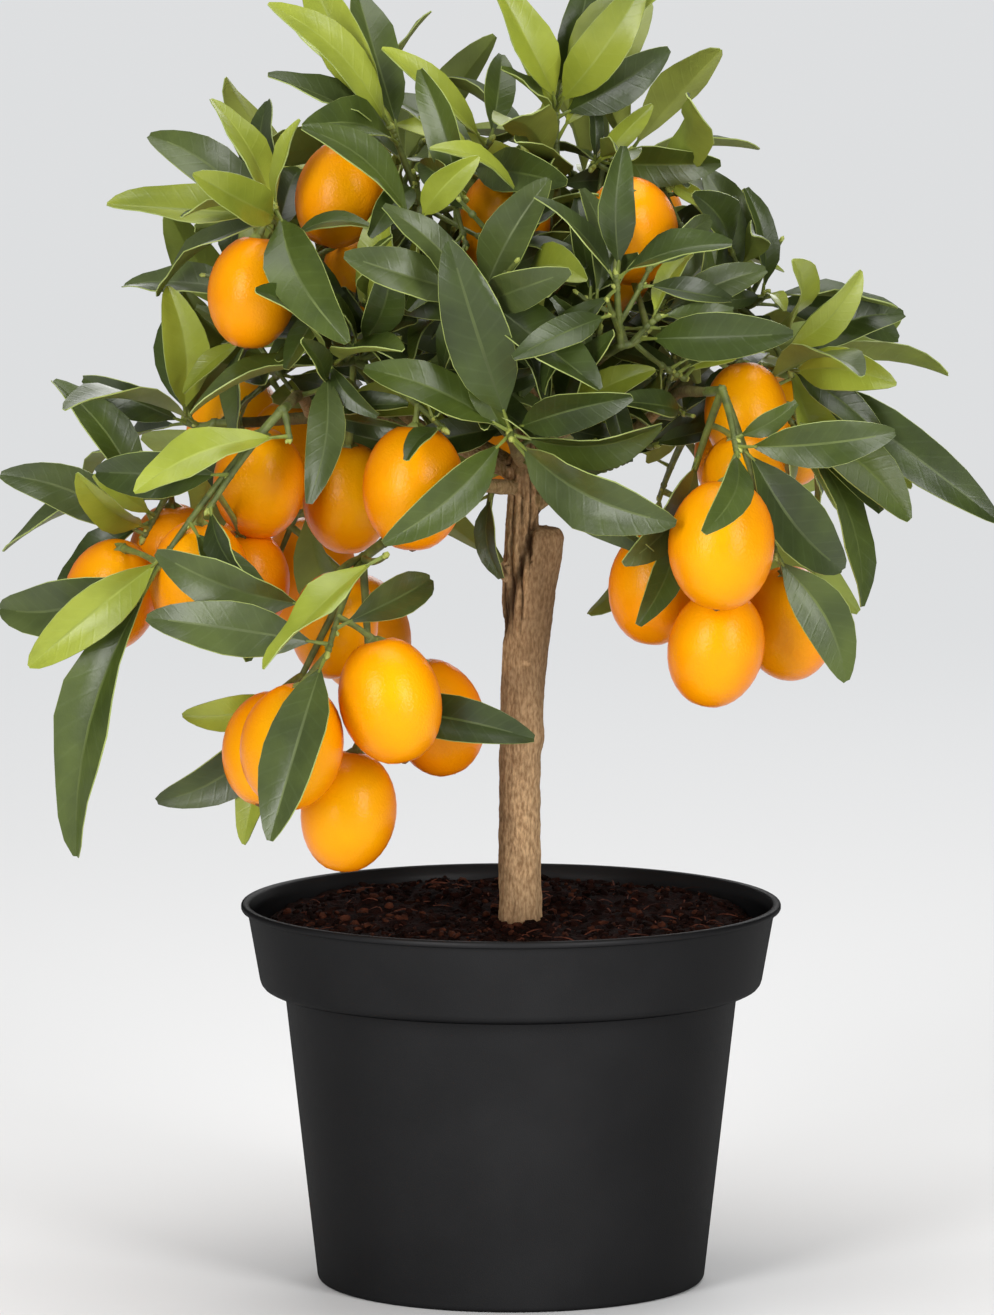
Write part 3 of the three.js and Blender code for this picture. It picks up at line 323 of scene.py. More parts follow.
limbs = {name: (knot_curve([row[:3] for row in rows]), [row[3] for row in rows])
         for name, rows in (("stock", STOCK), ("trunk", SCION))}
for name, (parent, share, tip, radii, lift) in BOUGHS.items():
    start, tip = limbs[parent][0](share), np.array(tip, float)
    limbs[name] = (knot_curve([start, (start + tip) / 2 + UP * lift, tip]), radii)
print("limbs:", len(limbs), "tip of the leader, mm:", limbs["leader"][0](1).round())

# %% [markdown]
# ## The rule of growth
# Kumquat leaves sit in a spiral, each about 137.5 degrees on from the last, and lie closer to
# the shoot the nearer they are to its tip. Every leaf turns its face to the light. Each has
# several poses to try: it takes the first in which it runs into no fruit, limb, twig or leaf.
# All chance comes from a small seeded generator, so the tree grows the same each time.

# %% Numbers of the rule
POT_HEIGHT, POT_RIM = 120, 85
LEAF_LENGTH, WIDTH_SHARE, PETIOLE = 53, 0.295, 0.12
FRUIT_RADIUS, FRUIT_HALF = 15.6, 19.8
GOLDEN_TURN = 137.5
FIRST_SEED, SEED_STEP, LEAF_STEP = 100, 17, 31
STEM_BACK, STEM_REACH, SHOOT_LIFT, SHOOT_SAG = 2, 9, (2, 7), -0.6
STALK_ABOVE, STALK_LEAN, STALK_UP, STALK_END, STALK_LIFT = 6, 0.55, 0.75, 0.93, 1.5
TRIES, TRY_TURN, TRY_SHIFT = 7, 41, 7
LEAFY, AIMED_SHARES = (0.4, 0.96), (0.65, 1)  # where leaves sit on a shoot
TILT, TILT_SPREAD = (78, 34), 12
RISE_YOUNG, RISE_MATURE = 0.25, -0.12
AIMED_ROLL, SPIRAL_ROLL, FOLD = (-32, 32), (-55, 55), (0.25, 0.6)
AIMED_CURL, AIMED_WIDTH, LONGEST = (0.45, 1), (0.85, 1.15), 1.2
SPIRAL_CURL, SPIRAL_LENGTH, SPIRAL_WIDTH = (0.4, 1.15), (0.84, 1.14), (0.86, 1.14)
FADE_LENGTH, FADE_YOUNG = (1.05, 0.92), (0.5, 1.3)  # from a shoot's foot to its tip
FACE_AHEAD = 0.35  # how far a leaf's face leans from the light towards the shoot's tip
BELLY = 0.9
BEAD_RADIUS, FRUIT_CLEAR, POT_CLEAR = 4.5, 1.06, 6
BLADE_FROM = 0.15
print("a common leaf, mm:", LEAF_LENGTH, "by", round(LEAF_LENGTH * WIDTH_SHARE, 1))


# %% Seeded chance
def seeded(seed):
    """A small seeded generator of numbers from 0 to 1."""
    word = 0xFFFFFFFF
    state = seed & word

    def draw():
        nonlocal state
        state = (state + 0x6D2B79F5) & word
        t = ((state ^ (state >> 15)) * (state | 1)) & word
        t ^= (t + (t ^ (t >> 7)) * (t | 61)) & word
        return (t ^ (t >> 14)) / (word + 1)

    return draw


print("first draw of the first mass:", round(seeded(FIRST_SEED)(), 3))


# %% Shoots and fruit
def grow_mass(name, seed):
    """The stem, the shoots and the fruit of one mass."""
    sun, rows, fruit = MASSES[name]
    at = limbs[name][0]
    tip, ahead = at(1), heading(at, 1)
    fork = tip + ahead * STEM_REACH
    draw = seeded(seed)
    shoots = []
    for end, leaves, spin, young, aims in rows:
        lift = mix(*SHOOT_LIFT, draw()) * (1 if end[2] < fork[2] else SHOOT_SAG)
        shoots.append({"at": arc_curve(fork, np.array(end, float), lift), "leaves": leaves,
                       "spin": spin, "young": young, "aims": aims, "seed": int(draw() * 1e6)})
    samples = np.vstack([along(shoot["at"], 10) for shoot in shoots])
    return {"sun": np.array(sun), "stem": arc_curve(tip - ahead * STEM_BACK, fork, 0),
            "shoots": shoots,
            "fruit": [hang_fruit(np.array(row[:3], float), row[3], samples) for row in fruit]}


def hang_fruit(centre, scale, samples):
    """A fruit hangs on a stalk from the nearest point of its mass's twigs above it."""
    half = FRUIT_HALF * scale
    above = centre + UP * (half + STALK_ABOVE)
    anchor = samples[np.argmin(np.linalg.norm(samples - above, axis=1))]
    axis = unit(unit(anchor - centre) * STALK_LEAN + UP * STALK_UP)
    return {"centre": centre, "axis": axis, "half": half, "basis": basis_of(axis),
            "size": np.array([FRUIT_RADIUS * scale, FRUIT_RADIUS * scale, half]),
            "stalk": arc_curve(anchor, centre + axis * half * STALK_END, STALK_LIFT)}


masses = {name: grow_mass(name, FIRST_SEED + k * SEED_STEP) for k, name in enumerate(MASSES)}
fruits = [fruit for mass in masses.values() for fruit in mass["fruit"]]
print("fruit:", len(fruits))


# %% Poses of a leaf
def leaf_root(shoot, share):
    t = mix(*LEAFY, share)
    return shoot["at"](t), heading(shoot["at"], t)


def leaf_pose(sun, root, axis, direction, roll, fold, **own):
    normal = turned(square_to(sun + axis * FACE_AHEAD, direction), direction, math.radians(roll))
    return {"root": root, "axis": axis, "direction": direction, "normal": normal,
            "fold": mix(*FOLD, fold), **own}


def aimed_leaf(sun, shoot, aim, share, draws, attempt):
    """A leaf whose tip is given. It swings nearer or further where that way is taken."""
    root, axis = leaf_root(shoot, share)
    shift = TRY_SHIFT * math.ceil(attempt / 2) * (-1 if attempt % 2 else 1)
    reach = np.array([aim[0], aim[1] + shift, aim[2]], float) - root
    far = np.linalg.norm(reach)
    curl = mix(*AIMED_CURL, draws[5])
    broad = min(far, LEAF_LENGTH * LONGEST) * WIDTH_SHARE * mix(*AIMED_WIDTH, draws[4])
    roll = aim[4] if len(aim) > 4 else mix(*AIMED_ROLL, draws[3])
    return leaf_pose(sun, root, axis, reach / far, roll, draws[6], curl=curl, width=broad,
                     length=far * curl / 2 / math.sin(curl / 2), young=aim[3] == 1)


def leaning(axis, turn, tilt, rise):
    """A direction that leans out from a shoot to one side, and up."""
    across = square_to(np.cross(UP, axis), axis)
    out = across * math.cos(turn) + np.cross(axis, across) * math.sin(turn)
    return unit(axis * math.cos(tilt) + out * math.sin(tilt) + UP * rise)


def spiral_leaf(sun, shoot, k, share, draws, attempt):
    """A leaf of the shoot's spiral. It turns on round the shoot where its way is taken."""
    root, axis = leaf_root(shoot, share)
    young = draws[0] < shoot["young"] * mix(*FADE_YOUNG, share)
    turn = math.radians(shoot["spin"] + k * GOLDEN_TURN + attempt * TRY_TURN)
    tilt = math.radians(mix(*TILT, share) + mix(-TILT_SPREAD, TILT_SPREAD, draws[2]))
    direction = leaning(axis, turn, tilt, RISE_YOUNG if young else RISE_MATURE)
    length = LEAF_LENGTH * mix(*SPIRAL_LENGTH, draws[1]) * mix(*FADE_LENGTH, share)
    return leaf_pose(sun, root, axis, direction, mix(*SPIRAL_ROLL, draws[3]), draws[6],
                     length=length, width=length * WIDTH_SHARE * mix(*SPIRAL_WIDTH, draws[4]),
                     curl=mix(*SPIRAL_CURL, draws[5]), young=young)


# %% The blade of a leaf
def leaf_lines(leaf, u):
    """Centre, side and face of a leaf at the shares u of its length."""
    now, half = leaf["curl"] * (0.5 - u), leaf["curl"] / 2
    ahead = leaf["length"] * (math.sin(half) - np.sin(now)) / leaf["curl"]
    raised = leaf["length"] * (np.cos(now) - math.cos(half)) / leaf["curl"]
    d, n = leaf["direction"], leaf["normal"]
    centre = leaf["root"] + np.outer(ahead, d) + np.outer(raised, n)
    tangent = np.outer(np.cos(now), d) + np.outer(np.sin(now), n)
    side = np.broadcast_to(np.cross(d, n), tangent.shape)
    return centre, side, np.cross(side, tangent)


def strip(leaf, u, fold=0):
    """The blade as a coarse strip: its left edge, its middle and its right edge."""
    centre, side, face = leaf_lines(leaf, u)
    s = np.clip((u - PETIOLE) / (1 - PETIOLE), 0, 1)
    half = leaf["width"] / 2 * np.sin(math.pi * s ** BELLY) ** BELLY
    reach, rise = side * half[:, None], face * (half * fold)[:, None]
    return np.vstack([centre - reach + rise, centre, centre + reach + rise])


# %% [markdown]
# ## Giving every leaf its place
# The prominent leaves of all masses come first, then the spirals fill the space that is left.
# Blender's BVH trees answer quickly whether two surfaces cross, so a leaf is tested as a small
# folded sheet against everything that is already there.

# %% Where a leaf may lie
beads = np.vstack([along(at, 36 if name == "stock" else 12) for name, (at, radii) in limbs.items()])
held = []


def blocked(leaf):
    """True where a leaf would run into the pot, a fruit or a limb."""
    p = strip(leaf, np.array([0.3, 0.45, 0.6, 0.8, 1]))
    low = p[:, 2] < POT_HEIGHT + POT_CLEAR
    return bool(
        np.any(low & (np.hypot(p[:, 0], p[:, 1]) < POT_RIM + POT_CLEAR))
        or any(np.any(np.linalg.norm((p - fruit["centre"]) @ fruit["basis"].T / fruit["size"],
                                     axis=1) < FRUIT_CLEAR) for fruit in fruits)
        or np.any(np.linalg.norm(p[:, None] - beads[None], axis=2) < BEAD_RADIUS))


def sheet(points, faces):
    """A surface as held has it: its tree and its box."""
    return BVHTree.FromPolygons([tuple(p) for p in points], faces), points.min(0), points.max(0)


def crosses(tree, low, high):
    return any(np.all(low <= b) and np.all(a <= high) and tree.overlap(other)
               for other, a, b in held)


print("places along the limbs that leaves keep off:", len(beads))


# %% Tubes
def band(a, b, n):
    """Faces between ring a and ring b, where each ring has n points."""
    return [(a * n + j, a * n + (j + 1) % n, b * n + (j + 1) % n, b * n + j) for j in range(n)]


def tube(at, radii, sides, steps):
    """Points and faces of a closed tapering tube, drawn round a curve."""
    turns = np.arange(sides) * 2 * math.pi / sides
    rings = []
    for t in np.arange(steps + 1) / steps:
        across, third, ahead = basis_of(heading(at, t))
        rings.append(at(t) + radius_at(radii, t) * (np.outer(np.cos(turns), across)
                                                    - np.outer(np.sin(turns), third)))
    faces = [(a, d, c, b) for k in range(steps) for a, b, c, d in band(k, k + 1, sides)]
    faces.append(tuple(range(sides)))
    faces.append(tuple(steps * sides + j for j in reversed(range(sides))))
    return np.vstack(rings), faces


# %% Place the leaves
BALL = np.array([(math.cos(a) * math.cos(e), math.sin(a) * math.cos(e), math.sin(e))
                 for e in np.radians([-90, -45, 0, 45, 90]) for a in np.radians(range(0, 360, 45))])
BALL_FACES = [face for ring in range(4) for face in band(ring, ring + 1, 8)]
BLADE = np.linspace(BLADE_FROM, 1, 7)
ROWS = len(BLADE)
BLADE_FACES = [(c * ROWS + k, c * ROWS + k + 1, (c + 1) * ROWS + k + 1, (c + 1) * ROWS + k)
               for c in (0, 1) for k in range(ROWS - 1)]
SHOOT_TEST, STALK_TEST = ((1.5, 1.1), 4, 6), ((0.9, 0.9), 4, 3)  # radii, sides and steps
leaves = []

for mass in masses.values():
    held += [sheet(*tube(shoot["at"], *SHOOT_TEST)) for shoot in mass["shoots"]]
for fruit in fruits:
    held.append(sheet(fruit["centre"] + BALL * fruit["size"] @ fruit["basis"], BALL_FACES))
    held.append(sheet(*tube(fruit["stalk"], *STALK_TEST)))


def place_leaf(poses, mass, shoot, number, allowed=lambda points: True):
    """Gives a leaf the first of its poses that is free."""
    for attempt in range(TRIES):
        leaf = poses(attempt)
        if blocked(leaf) or not allowed(leaf_lines(leaf, np.array([BLADE_FROM, 0.5, 1]))[0]):
            continue
        blade = sheet(strip(leaf, BLADE, leaf["fold"]), BLADE_FACES)
        if not crosses(*blade):
            held.append(blade)
            leaves.append({**leaf, "mass": mass, "seed": shoot["seed"] + number * LEAF_STEP})
            return


for prominent in (True, False):
    for name, mass in masses.items():
        sun = mass["sun"]
        for shoot in mass["shoots"]:
            draw, aims, spiral = seeded(shoot["seed"]), shoot["aims"], shoot["leaves"]
            for k in range(len(aims) + spiral):
                draws = [draw() for _ in range(7)]
                if prominent and k < len(aims):
                    share = mix(*AIMED_SHARES, (k + 1) / len(aims))
                    place_leaf(lambda n: aimed_leaf(sun, shoot, aims[k], share, draws, n),
                               name, shoot, k)
                elif not prominent and k >= len(aims):
                    share = (k - len(aims) + 0.5) / spiral
                    place_leaf(lambda n: spiral_leaf(sun, shoot, k, share, draws, n),
                               name, shoot, k)
print("leaves placed:", len(leaves))

# %% [markdown]
# ## Finer twigs
# In the middle of the crown the shoots and boughs fork once more, into thin side twigs with two
# to four small leaves. They follow the same rule and the same tests, and they stay inside an
# ellipsoid within the crown, so its outline stays the one that the larger leaves give it.

# %% Grow the side twigs
DENSE_CENTRE, DENSE_REACH = np.array([-4.0, 4.0, 308.0]), np.array([100.0, 96.0, 56.0])
SIDE_TWIGS, SIDE_SHARES = {"shoot": 6, "bough": 7}, (0.15, 0.95)
SIDE_LENGTH, SIDE_TILT, SIDE_LEAVES, SIDE_RISE = (10, 26), (40, 75), (2, 5), 0.2
SIDE_LEAF_SIZE, SIDE_YOUNG, SIDE_SEED = (0.55, 0.86), 0.1, 7000
side_twigs = []


def in_the_dense_part(points):
    return bool(np.all((((points - DENSE_CENTRE) / DENSE_REACH) ** 2).sum(1) < 1))


def grow_side_twig(mass, carrier, share, turn, seed):
    """One side twig with its leaves. It stays only where it finds room for a leaf."""
    draw = seeded(seed)
    root = carrier(share)
    away = leaning(heading(carrier, share), turn, math.radians(mix(*SIDE_TILT, draw())), SIDE_RISE)
    at = arc_curve(root, root + away * mix(*SIDE_LENGTH, draw()), mix(-2, 2, draw()))
    count = int(mix(*SIDE_LEAVES, draw()))
    twig = {"at": at, "spin": draw() * 360, "young": SIDE_YOUNG, "seed": seed}
    points, faces = tube(lambda t: at(mix(0.2, 1, t)), (1, 0.8), 4, 3)
    wood = sheet(points, faces)
    if not in_the_dense_part(points) or crosses(*wood):
        return
    before = len(leaves)
    for k in range(count):
        draws = [draw() for _ in range(7)]
        small = mix(*SIDE_LEAF_SIZE, draw())

        def poses(attempt):
            leaf = spiral_leaf(masses[mass]["sun"], twig, k, (k + 1) / count, draws, attempt)
            return {**leaf, "length": leaf["length"] * small, "width": leaf["width"] * small,
                    "inner": True}
        place_leaf(poses, mass, twig, k, in_the_dense_part)
    if len(leaves) > before:
        held.append(wood)
        side_twigs.append(at)


number = 0
for name, mass in masses.items():
    carriers = [("shoot", shoot["at"]) for shoot in mass["shoots"]] + [("bough", limbs[name][0])]
    for kind, carrier in carriers:
        for k in range(SIDE_TWIGS[kind]):
            number += 1
            grow_side_twig(name, carrier, mix(*SIDE_SHARES, (k + 0.5) / SIDE_TWIGS[kind]),
                           math.radians(number * GOLDEN_TURN), SIDE_SEED + number * SEED_STEP)
print("side twigs:", len(side_twigs), "leaves in all:", len(leaves))

# %% [markdown]
# ## Finishes
# The plant's finishes share one effect: a slow wandering between a lighter and a darker tone,
# with a fine relief that goes with it. It is built once as a node group with named inputs, and
# each material sets its own tones, scale and stretch. The shader itself stays in the material.
# Nodes are written as a kind and its inputs: a socket is linked, and anything else is a value.


# %% Helpers for nodes
def put(node, inputs):
    """Fills a node's inputs, given by name or by place."""
    for key, value in inputs.items():
        if isinstance(value, bpy.types.NodeSocket):
            node.id_data.links.new(value, node.inputs[key])
        else:
            node.inputs[key].default_value = value
    return node


def add(tree, kind, inputs=None, **settings):
    """A new shader node with its settings and its inputs."""
    node = tree.nodes.new("ShaderNode" + kind)
    for key, value in settings.items():
        setattr(node, key, value)
    return put(node, inputs or {})


def blended(tree, factor, a, b, kind="MIX"):
    """The colour a, which turns into b as the factor rises."""
    return add(tree, "Mix", {"Factor": factor, "A": a, "B": b}, data_type="RGBA",
               blend_type=kind).outputs["Result"]


def math_of(tree, operation, *values):
    """The result of one sum with values, sockets or both."""
    return add(tree, "Math", dict(enumerate(values)), operation=operation).outputs[0]


def new_group(name, given, made):
    """An empty node group with its sockets, each by name and kind, and its two end nodes."""
    group = bpy.data.node_groups.new(name, "ShaderNodeTree")
    for way, sockets in (("INPUT", given), ("OUTPUT", made)):
        for socket, kind in sockets.items():
            group.interface.new_socket(name=socket, in_out=way, socket_type="NodeSocket" + kind)
    return group, group.nodes.new("NodeGroupInput").outputs, group.nodes.new("NodeGroupOutput")


# %% The shared mottling
def make_mottling():
    group, given, made = new_group(
        "mottling", {"Light": "Color", "Dark": "Color", "Scale": "Float", "Stretch": "Float",
                     "Fine Scale": "Float"}, {"Color": "Color", "Height": "Float"})
    x, y, z = add(group, "SeparateXYZ", {0: add(group, "TexCoord").outputs["Object"]}).outputs
    along_z = math_of(group, "MULTIPLY", z, given["Stretch"])
    place = add(group, "CombineXYZ", {0: x, 1: y, 2: along_z}).outputs[0]
    coarse, fine = (add(group, "TexNoise", {"Vector": place, "Scale": given[scale],
                                            "Detail": detail}).outputs["Fac"]
                    for scale, detail in (("Scale", 4), ("Fine Scale", 2)))
    share = add(group, "MapRange", {"Value": coarse, "From Min": 0.35, "From Max": 0.65})
    put(made, {"Color": blended(group, share.outputs[0], given["Dark"], given["Light"]),
               "Height": fine})
    return group


MOTTLING = make_mottling()
print("nodes in the mottling:", len(MOTTLING.nodes))


# %% A finish
def linear(red, green, blue):
    """A colour as a screen shows it, from 0 to 255, turned into light."""
    parts = [c / 255 for c in (red, green, blue)]
    return (*(c / 12.92 if c <= 0.04045 else ((c + 0.055) / 1.055) ** 2.4 for c in parts), 1)


def mottled(tree, light, dark, scale, fine, stretch):
    """The sockets of a mottling that has its own tones and sizes."""
    return add(tree, "Group", {"Light": linear(*light), "Dark": linear(*dark), "Scale": scale,
                               "Fine Scale": fine, "Stretch": stretch},
               node_tree=MOTTLING).outputs


def new_material(name):
    """A material, its tree and its shader."""
    material = bpy.data.materials.new(name)
    material.use_nodes = True
    tree = material.node_tree
    return material, tree, tree.nodes["Principled BSDF"]


def finish_of(name, light, dark, scale, fine, depth, stretch=1.0, roughness=0.5, specular=0.5):
    """A material with the mottling in it. depth is its relief in millimetres."""
    material, tree, shader = new_material(name)
    pattern = mottled(tree, light, dark, scale, fine, stretch)
    bump = add(tree, "Bump", {"Strength": 1, "Distance": depth * MM, "Height": pattern["Height"]})
    put(shader, {"Roughness": roughness, "Specular IOR Level": specular,
                 "Base Color": pattern["Color"], "Normal": bump.outputs["Normal"]})
    return material


def source_of(tree, node, key):
    """The socket that feeds an input of a node."""
    return tree.nodes[node].inputs[key].links[0].from_socket


def shaded_at_edges(material, blend, tone):
    """Paints shade on a material where it turns away from the eye, darker towards its outline.
    Gives back how far it turns.
    """
    tree = material.node_tree
    turn = add(tree, "LayerWeight", {"Blend": blend}).outputs["Facing"]
    base = source_of(tree, "Principled BSDF", "Base Color")
    put(tree.nodes["Principled BSDF"], {"Base Color": blended(tree, turn, base, linear(*tone))})
    return turn


# %% [markdown]
# ## Joined pieces
# A plant is hundreds of small things. Each kind is modelled once, copied by moving its points,
# and gathered into one mesh, which keeps the scene light.

# %% Gathering
MASS_NODES = ["mass_" + name for name in MASSES]
LIMB_NODES = ["trunk"] + ["bough_" + name for name in BOUGHS]


class Heap:
    """Points and faces gathered for one joined mesh."""

    def __init__(self):
        self.points, self.faces, self.slots, self.flat, self.count = [], [], [], [], 0

    def add(self, points, faces, slots=0, flat=None):
        """flat is each point's place on the unbent master, for a pattern that follows it."""
        self.points.append(points)
        self.faces += [tuple(i + self.count for i in face) for face in faces]
        self.slots += [slots] * len(faces) if isinstance(slots, int) else slots
        self.count += len(points)
        if flat is not None:
            self.flat.append(flat)

    def piece(self, name, materials, slot="foliage", replaced=MASS_NODES, sharp=50):
        mesh = bpy.data.meshes.new(name)
        mesh.from_pydata((np.vstack(self.points) * MM).tolist(), [], self.faces)
        for material in materials:
            mesh.materials.append(material)
        mesh.polygons.foreach_set("material_index", self.slots)
        if self.flat:
            corners = np.zeros(len(mesh.loops), np.int32)
            mesh.loops.foreach_get("vertex_index", corners)
            places = np.vstack(self.flat)[corners].astype(np.float32)
            mesh.uv_layers.new(name="flat").data.foreach_set("uv", places.ravel())
        mesh.shade_smooth()
        mesh.set_sharp_from_angle(angle=math.radians(sharp))
        settle(new_object(name, mesh), replaced)


def settle(obj, replaced):
    """Says what a finished piece rides on and what it replaces."""
    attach(obj, "root")
    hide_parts(*replaced)
    print(obj.name, "faces:", len(obj.data.polygons))


def master_of(obj):
    """Points, faces and slots of a modelled master, which is then put away."""
    mesh = obj.data
    points = np.array([v.co for v in mesh.vertices])
    faces = [tuple(face.vertices) for face in mesh.polygons]
    slots = [face.material_index for face in mesh.polygons]
    bpy.data.objects.remove(obj)
    return points, faces, slots


# %% [markdown]
# ## The leaf
# A kumquat leaf is leathery, folded along its midrib, with a thin pale edge. One master is
# modelled flat from a grid: x runs across in half widths, y from its base to its tip, and z in
# thicknesses. Extruding the sheet downwards gives the underside and the edge. Its points are
# then bent by arithmetic for each leaf, so no two leaves are alike.

# %% Leaf master
LEAF_ROWS = 10
RIB, RIB_END, EDGE = 0.05, 0.7, 0.972
TOP, UNDER, MARGIN, MIDRIB = 0, 1, 2, 3


def only(*objects):
    """Selects these objects and no others, and makes the first one active."""
    bpy.ops.object.select_all(action="DESELECT")
    for obj in objects:
        obj.select_set(True)
    bpy.context.view_layer.objects.active = objects[0]


def select_where(obj, test):
    """Selects the points of a mesh that pass a test on their place, in edit mode."""
    bpy.ops.object.mode_set(mode="OBJECT")
    points = obj.data.vertices
    for v in points:
        v.select = bool(test(v.co))
    for part in (*obj.data.edges, *obj.data.polygons):
        part.select = all(points[i].select for i in part.vertices)
    bpy.ops.object.mode_set(mode="EDIT")


def squeeze(obj, test, share):
    select_where(obj, test)
    bpy.ops.transform.resize(value=(share, 1, 1))


bpy.ops.mesh.primitive_grid_add(x_subdivisions=5, y_subdivisions=LEAF_ROWS, size=2)
blade = bpy.context.active_object
squeeze(blade, lambda p: abs(p.x) < 0.3, RIB / 0.2)
squeeze(blade, lambda p: 0.4 < abs(p.x) < 0.8, 0.55 / 0.6)
bpy.ops.mesh.select_all(action="SELECT")
bpy.ops.mesh.extrude_region_move(TRANSFORM_OT_translate={"value": (0, 0, -1)})
squeeze(blade, lambda p: p.z > -0.5 and abs(p.x) > 0.9, EDGE)
bpy.ops.mesh.select_all(action="SELECT")
bpy.ops.mesh.normals_make_consistent(inside=False)
bpy.ops.object.mode_set(mode="OBJECT")
for face in blade.data.polygons:
    middle = face.center
    if abs(face.normal.z) < 0.9:
        face.material_index = MARGIN
    elif middle.z < -0.5:
        face.material_index = UNDER
    else:
        face.material_index = MIDRIB if abs(middle.x) < RIB and middle.y < RIB_END else TOP
LEAF_MASTER = master_of(blade)
print("leaf master:", len(LEAF_MASTER[0]), "points,", len(LEAF_MASTER[1]), "faces")

# %% Bend the leaves
LEAF_THICK = 0.4
OUTLINE_BELLY = 0.88
OUTLINE_FULL = (1.05, 0.55)  # a power: the base tapers and the tip is full
ROUND_BASE, ROUND_TIP = 0.55, {True: 0.6, False: 1.1}  # smallest half width, by age at the tip
TWIST, WAVE, WAVES, SWAY = (-28, 28), (0.03, 0.12), (1.2, 2), (-0.25, 0.25)
CROWDING = 0.55  # how much the rows of a leaf crowd at its two ends
FRESH_SHARE = 0.55  # of the young leaves
# painted shade: most leaves of the inner twigs take the deep tone, for the shade inside the crown
INNER_SHADE_SHARE, SPRAY_SHARE = 0.6, 0.5  # inner leaves that are deep, others of their spray's tone


def bend_leaf(leaf, master, draw):
    """The master's points on one leaf: folded, arched, twisted and with a gentle wave."""
    x, y, z = master.T
    even = (y + 1) / 2
    s = (1 - CROWDING) * even + CROWDING * (1 - np.cos(math.pi * even)) / 2
    u = mix(PETIOLE, 1, s)
    centre, side, face = leaf_lines(leaf, u)
    half = leaf["width"] / 2 * np.sin(math.pi * s ** OUTLINE_BELLY) ** mix(*OUTLINE_FULL, s)
    half = np.maximum(half, mix(ROUND_BASE, ROUND_TIP[leaf["young"]], s))
    twist = math.radians(mix(*TWIST, draw())) * (s - 0.3)
    wave = mix(*WAVE, draw()) * leaf["width"]
    ripple = wave * x ** 2 * np.sin(2 * math.pi * (mix(*WAVES, draw()) * s + draw()) + x * 0.9)
    sway = leaf["width"] * mix(*SWAY, draw()) * np.sin(math.pi * s)
    across = x * half
    valley = (np.sqrt(x ** 2 + 0.006) - 0.077 - 0.3 * x ** 2) * 1.5  # soft at the midrib
    rise = leaf["fold"] * half * valley
    rise = rise + ripple * np.sin(math.pi * s) + z * LEAF_THICK
    cos, sin = np.cos(twist), np.sin(twist)
    out = -(across * cos - rise * sin) + sway
    up = across * sin + rise * cos
    return centre + side * out[:, None] + face * up[:, None]


def leaf_tone(leaf, draw):
    """The piece that a leaf is dealt to, by its age and its spray; most inner leaves take the deep
    tone as painted shade.
    """
    chance = draw()
    if leaf["young"]:
        return "leaves_fresh" if chance < FRESH_SHARE else "leaves_young"
    # painted shade: inner leaves mostly take the deep tone
    if "inner" in leaf and chance < INNER_SHADE_SHARE:
        return "leaves_deep"
    if chance < SPRAY_SHARE:
        spray = list(MASSES).index(leaf["mass"]) % 3
        return ("leaves_deep", "leaves_green", "leaves_grey")[spray]
    return "leaves_deep" if chance < 0.7 else "leaves_green" if chance < 0.86 else "leaves_grey"


# %% [markdown]
# ## Veins
# Side veins run from the midrib forwards to the margin. They are a pattern that follows the
# blade, so each leaf keeps the place of its points on the flat master as a UV map, and the
# pattern is drawn there with a few sums: the place along the leaf less a share of the distance
# from the midrib, cut into even steps, gives a mask that is 1 on a vein.

# %% The veins' group
VEINS, VEIN_SLANT, VEIN_WIDTH, VEIN_DEPTH = 13, 2.6, 0.14, 0.4
VEIN_TONE = (0.006, 0.008, 0.004, 1)


def make_veins():
    group, given, made = new_group("veins", {"Blade": "Color", "Height": "Float"},
                                   {"Color": "Color", "Relief": "Float"})
    x, y, _ = add(group, "SeparateXYZ", {0: add(group, "UVMap", uv_map="flat").outputs[0]}).outputs
    away = math_of(group, "ABSOLUTE", math_of(group, "SUBTRACT", x, 0.5))
    steps = math_of(group, "SUBTRACT", math_of(group, "MULTIPLY", y, VEINS),
                    math_of(group, "MULTIPLY", away, VEIN_SLANT))
    edge = add(group, "MapRange", {"Value": math_of(group, "PINGPONG", steps, 0.5),
                                   "From Max": VEIN_WIDTH, "To Min": 1, "To Max": 0},
               interpolation_type="SMOOTHSTEP").outputs[0]
    sunk = math_of(group, "MULTIPLY", edge, VEIN_DEPTH)
    put(made, {"Color": blended(group, edge, given["Blade"], VEIN_TONE, "SCREEN"),
               "Relief": math_of(group, "SUBTRACT", given["Height"], sunk)})
    return group


VEIN_PATTERN = make_veins()
print("nodes in the veins:", len(VEIN_PATTERN.nodes))


def veined(material):
    """Puts the veins between a leaf's mottling and its shader."""
    tree = material.node_tree
    veins = add(tree, "Group", {"Blade": source_of(tree, "Principled BSDF", "Base Color"),
                                "Height": source_of(tree, "Bump", "Height")},
                node_tree=VEIN_PATTERN).outputs
    put(tree.nodes["Principled BSDF"], {"Base Color": veins["Color"]})
    put(tree.nodes["Bump"], {"Height": veins["Relief"]})
    return material


# %% Deal out the leaves
heaps = {}
points, faces, slots = LEAF_MASTER
for leaf in leaves:
    draw = seeded(leaf["seed"])
    heap = heaps.setdefault(leaf_tone(leaf, draw), Heap())
    heap.add(bend_leaf(leaf, points, draw), faces, slots, points[:, :2] / 2 + 0.5)

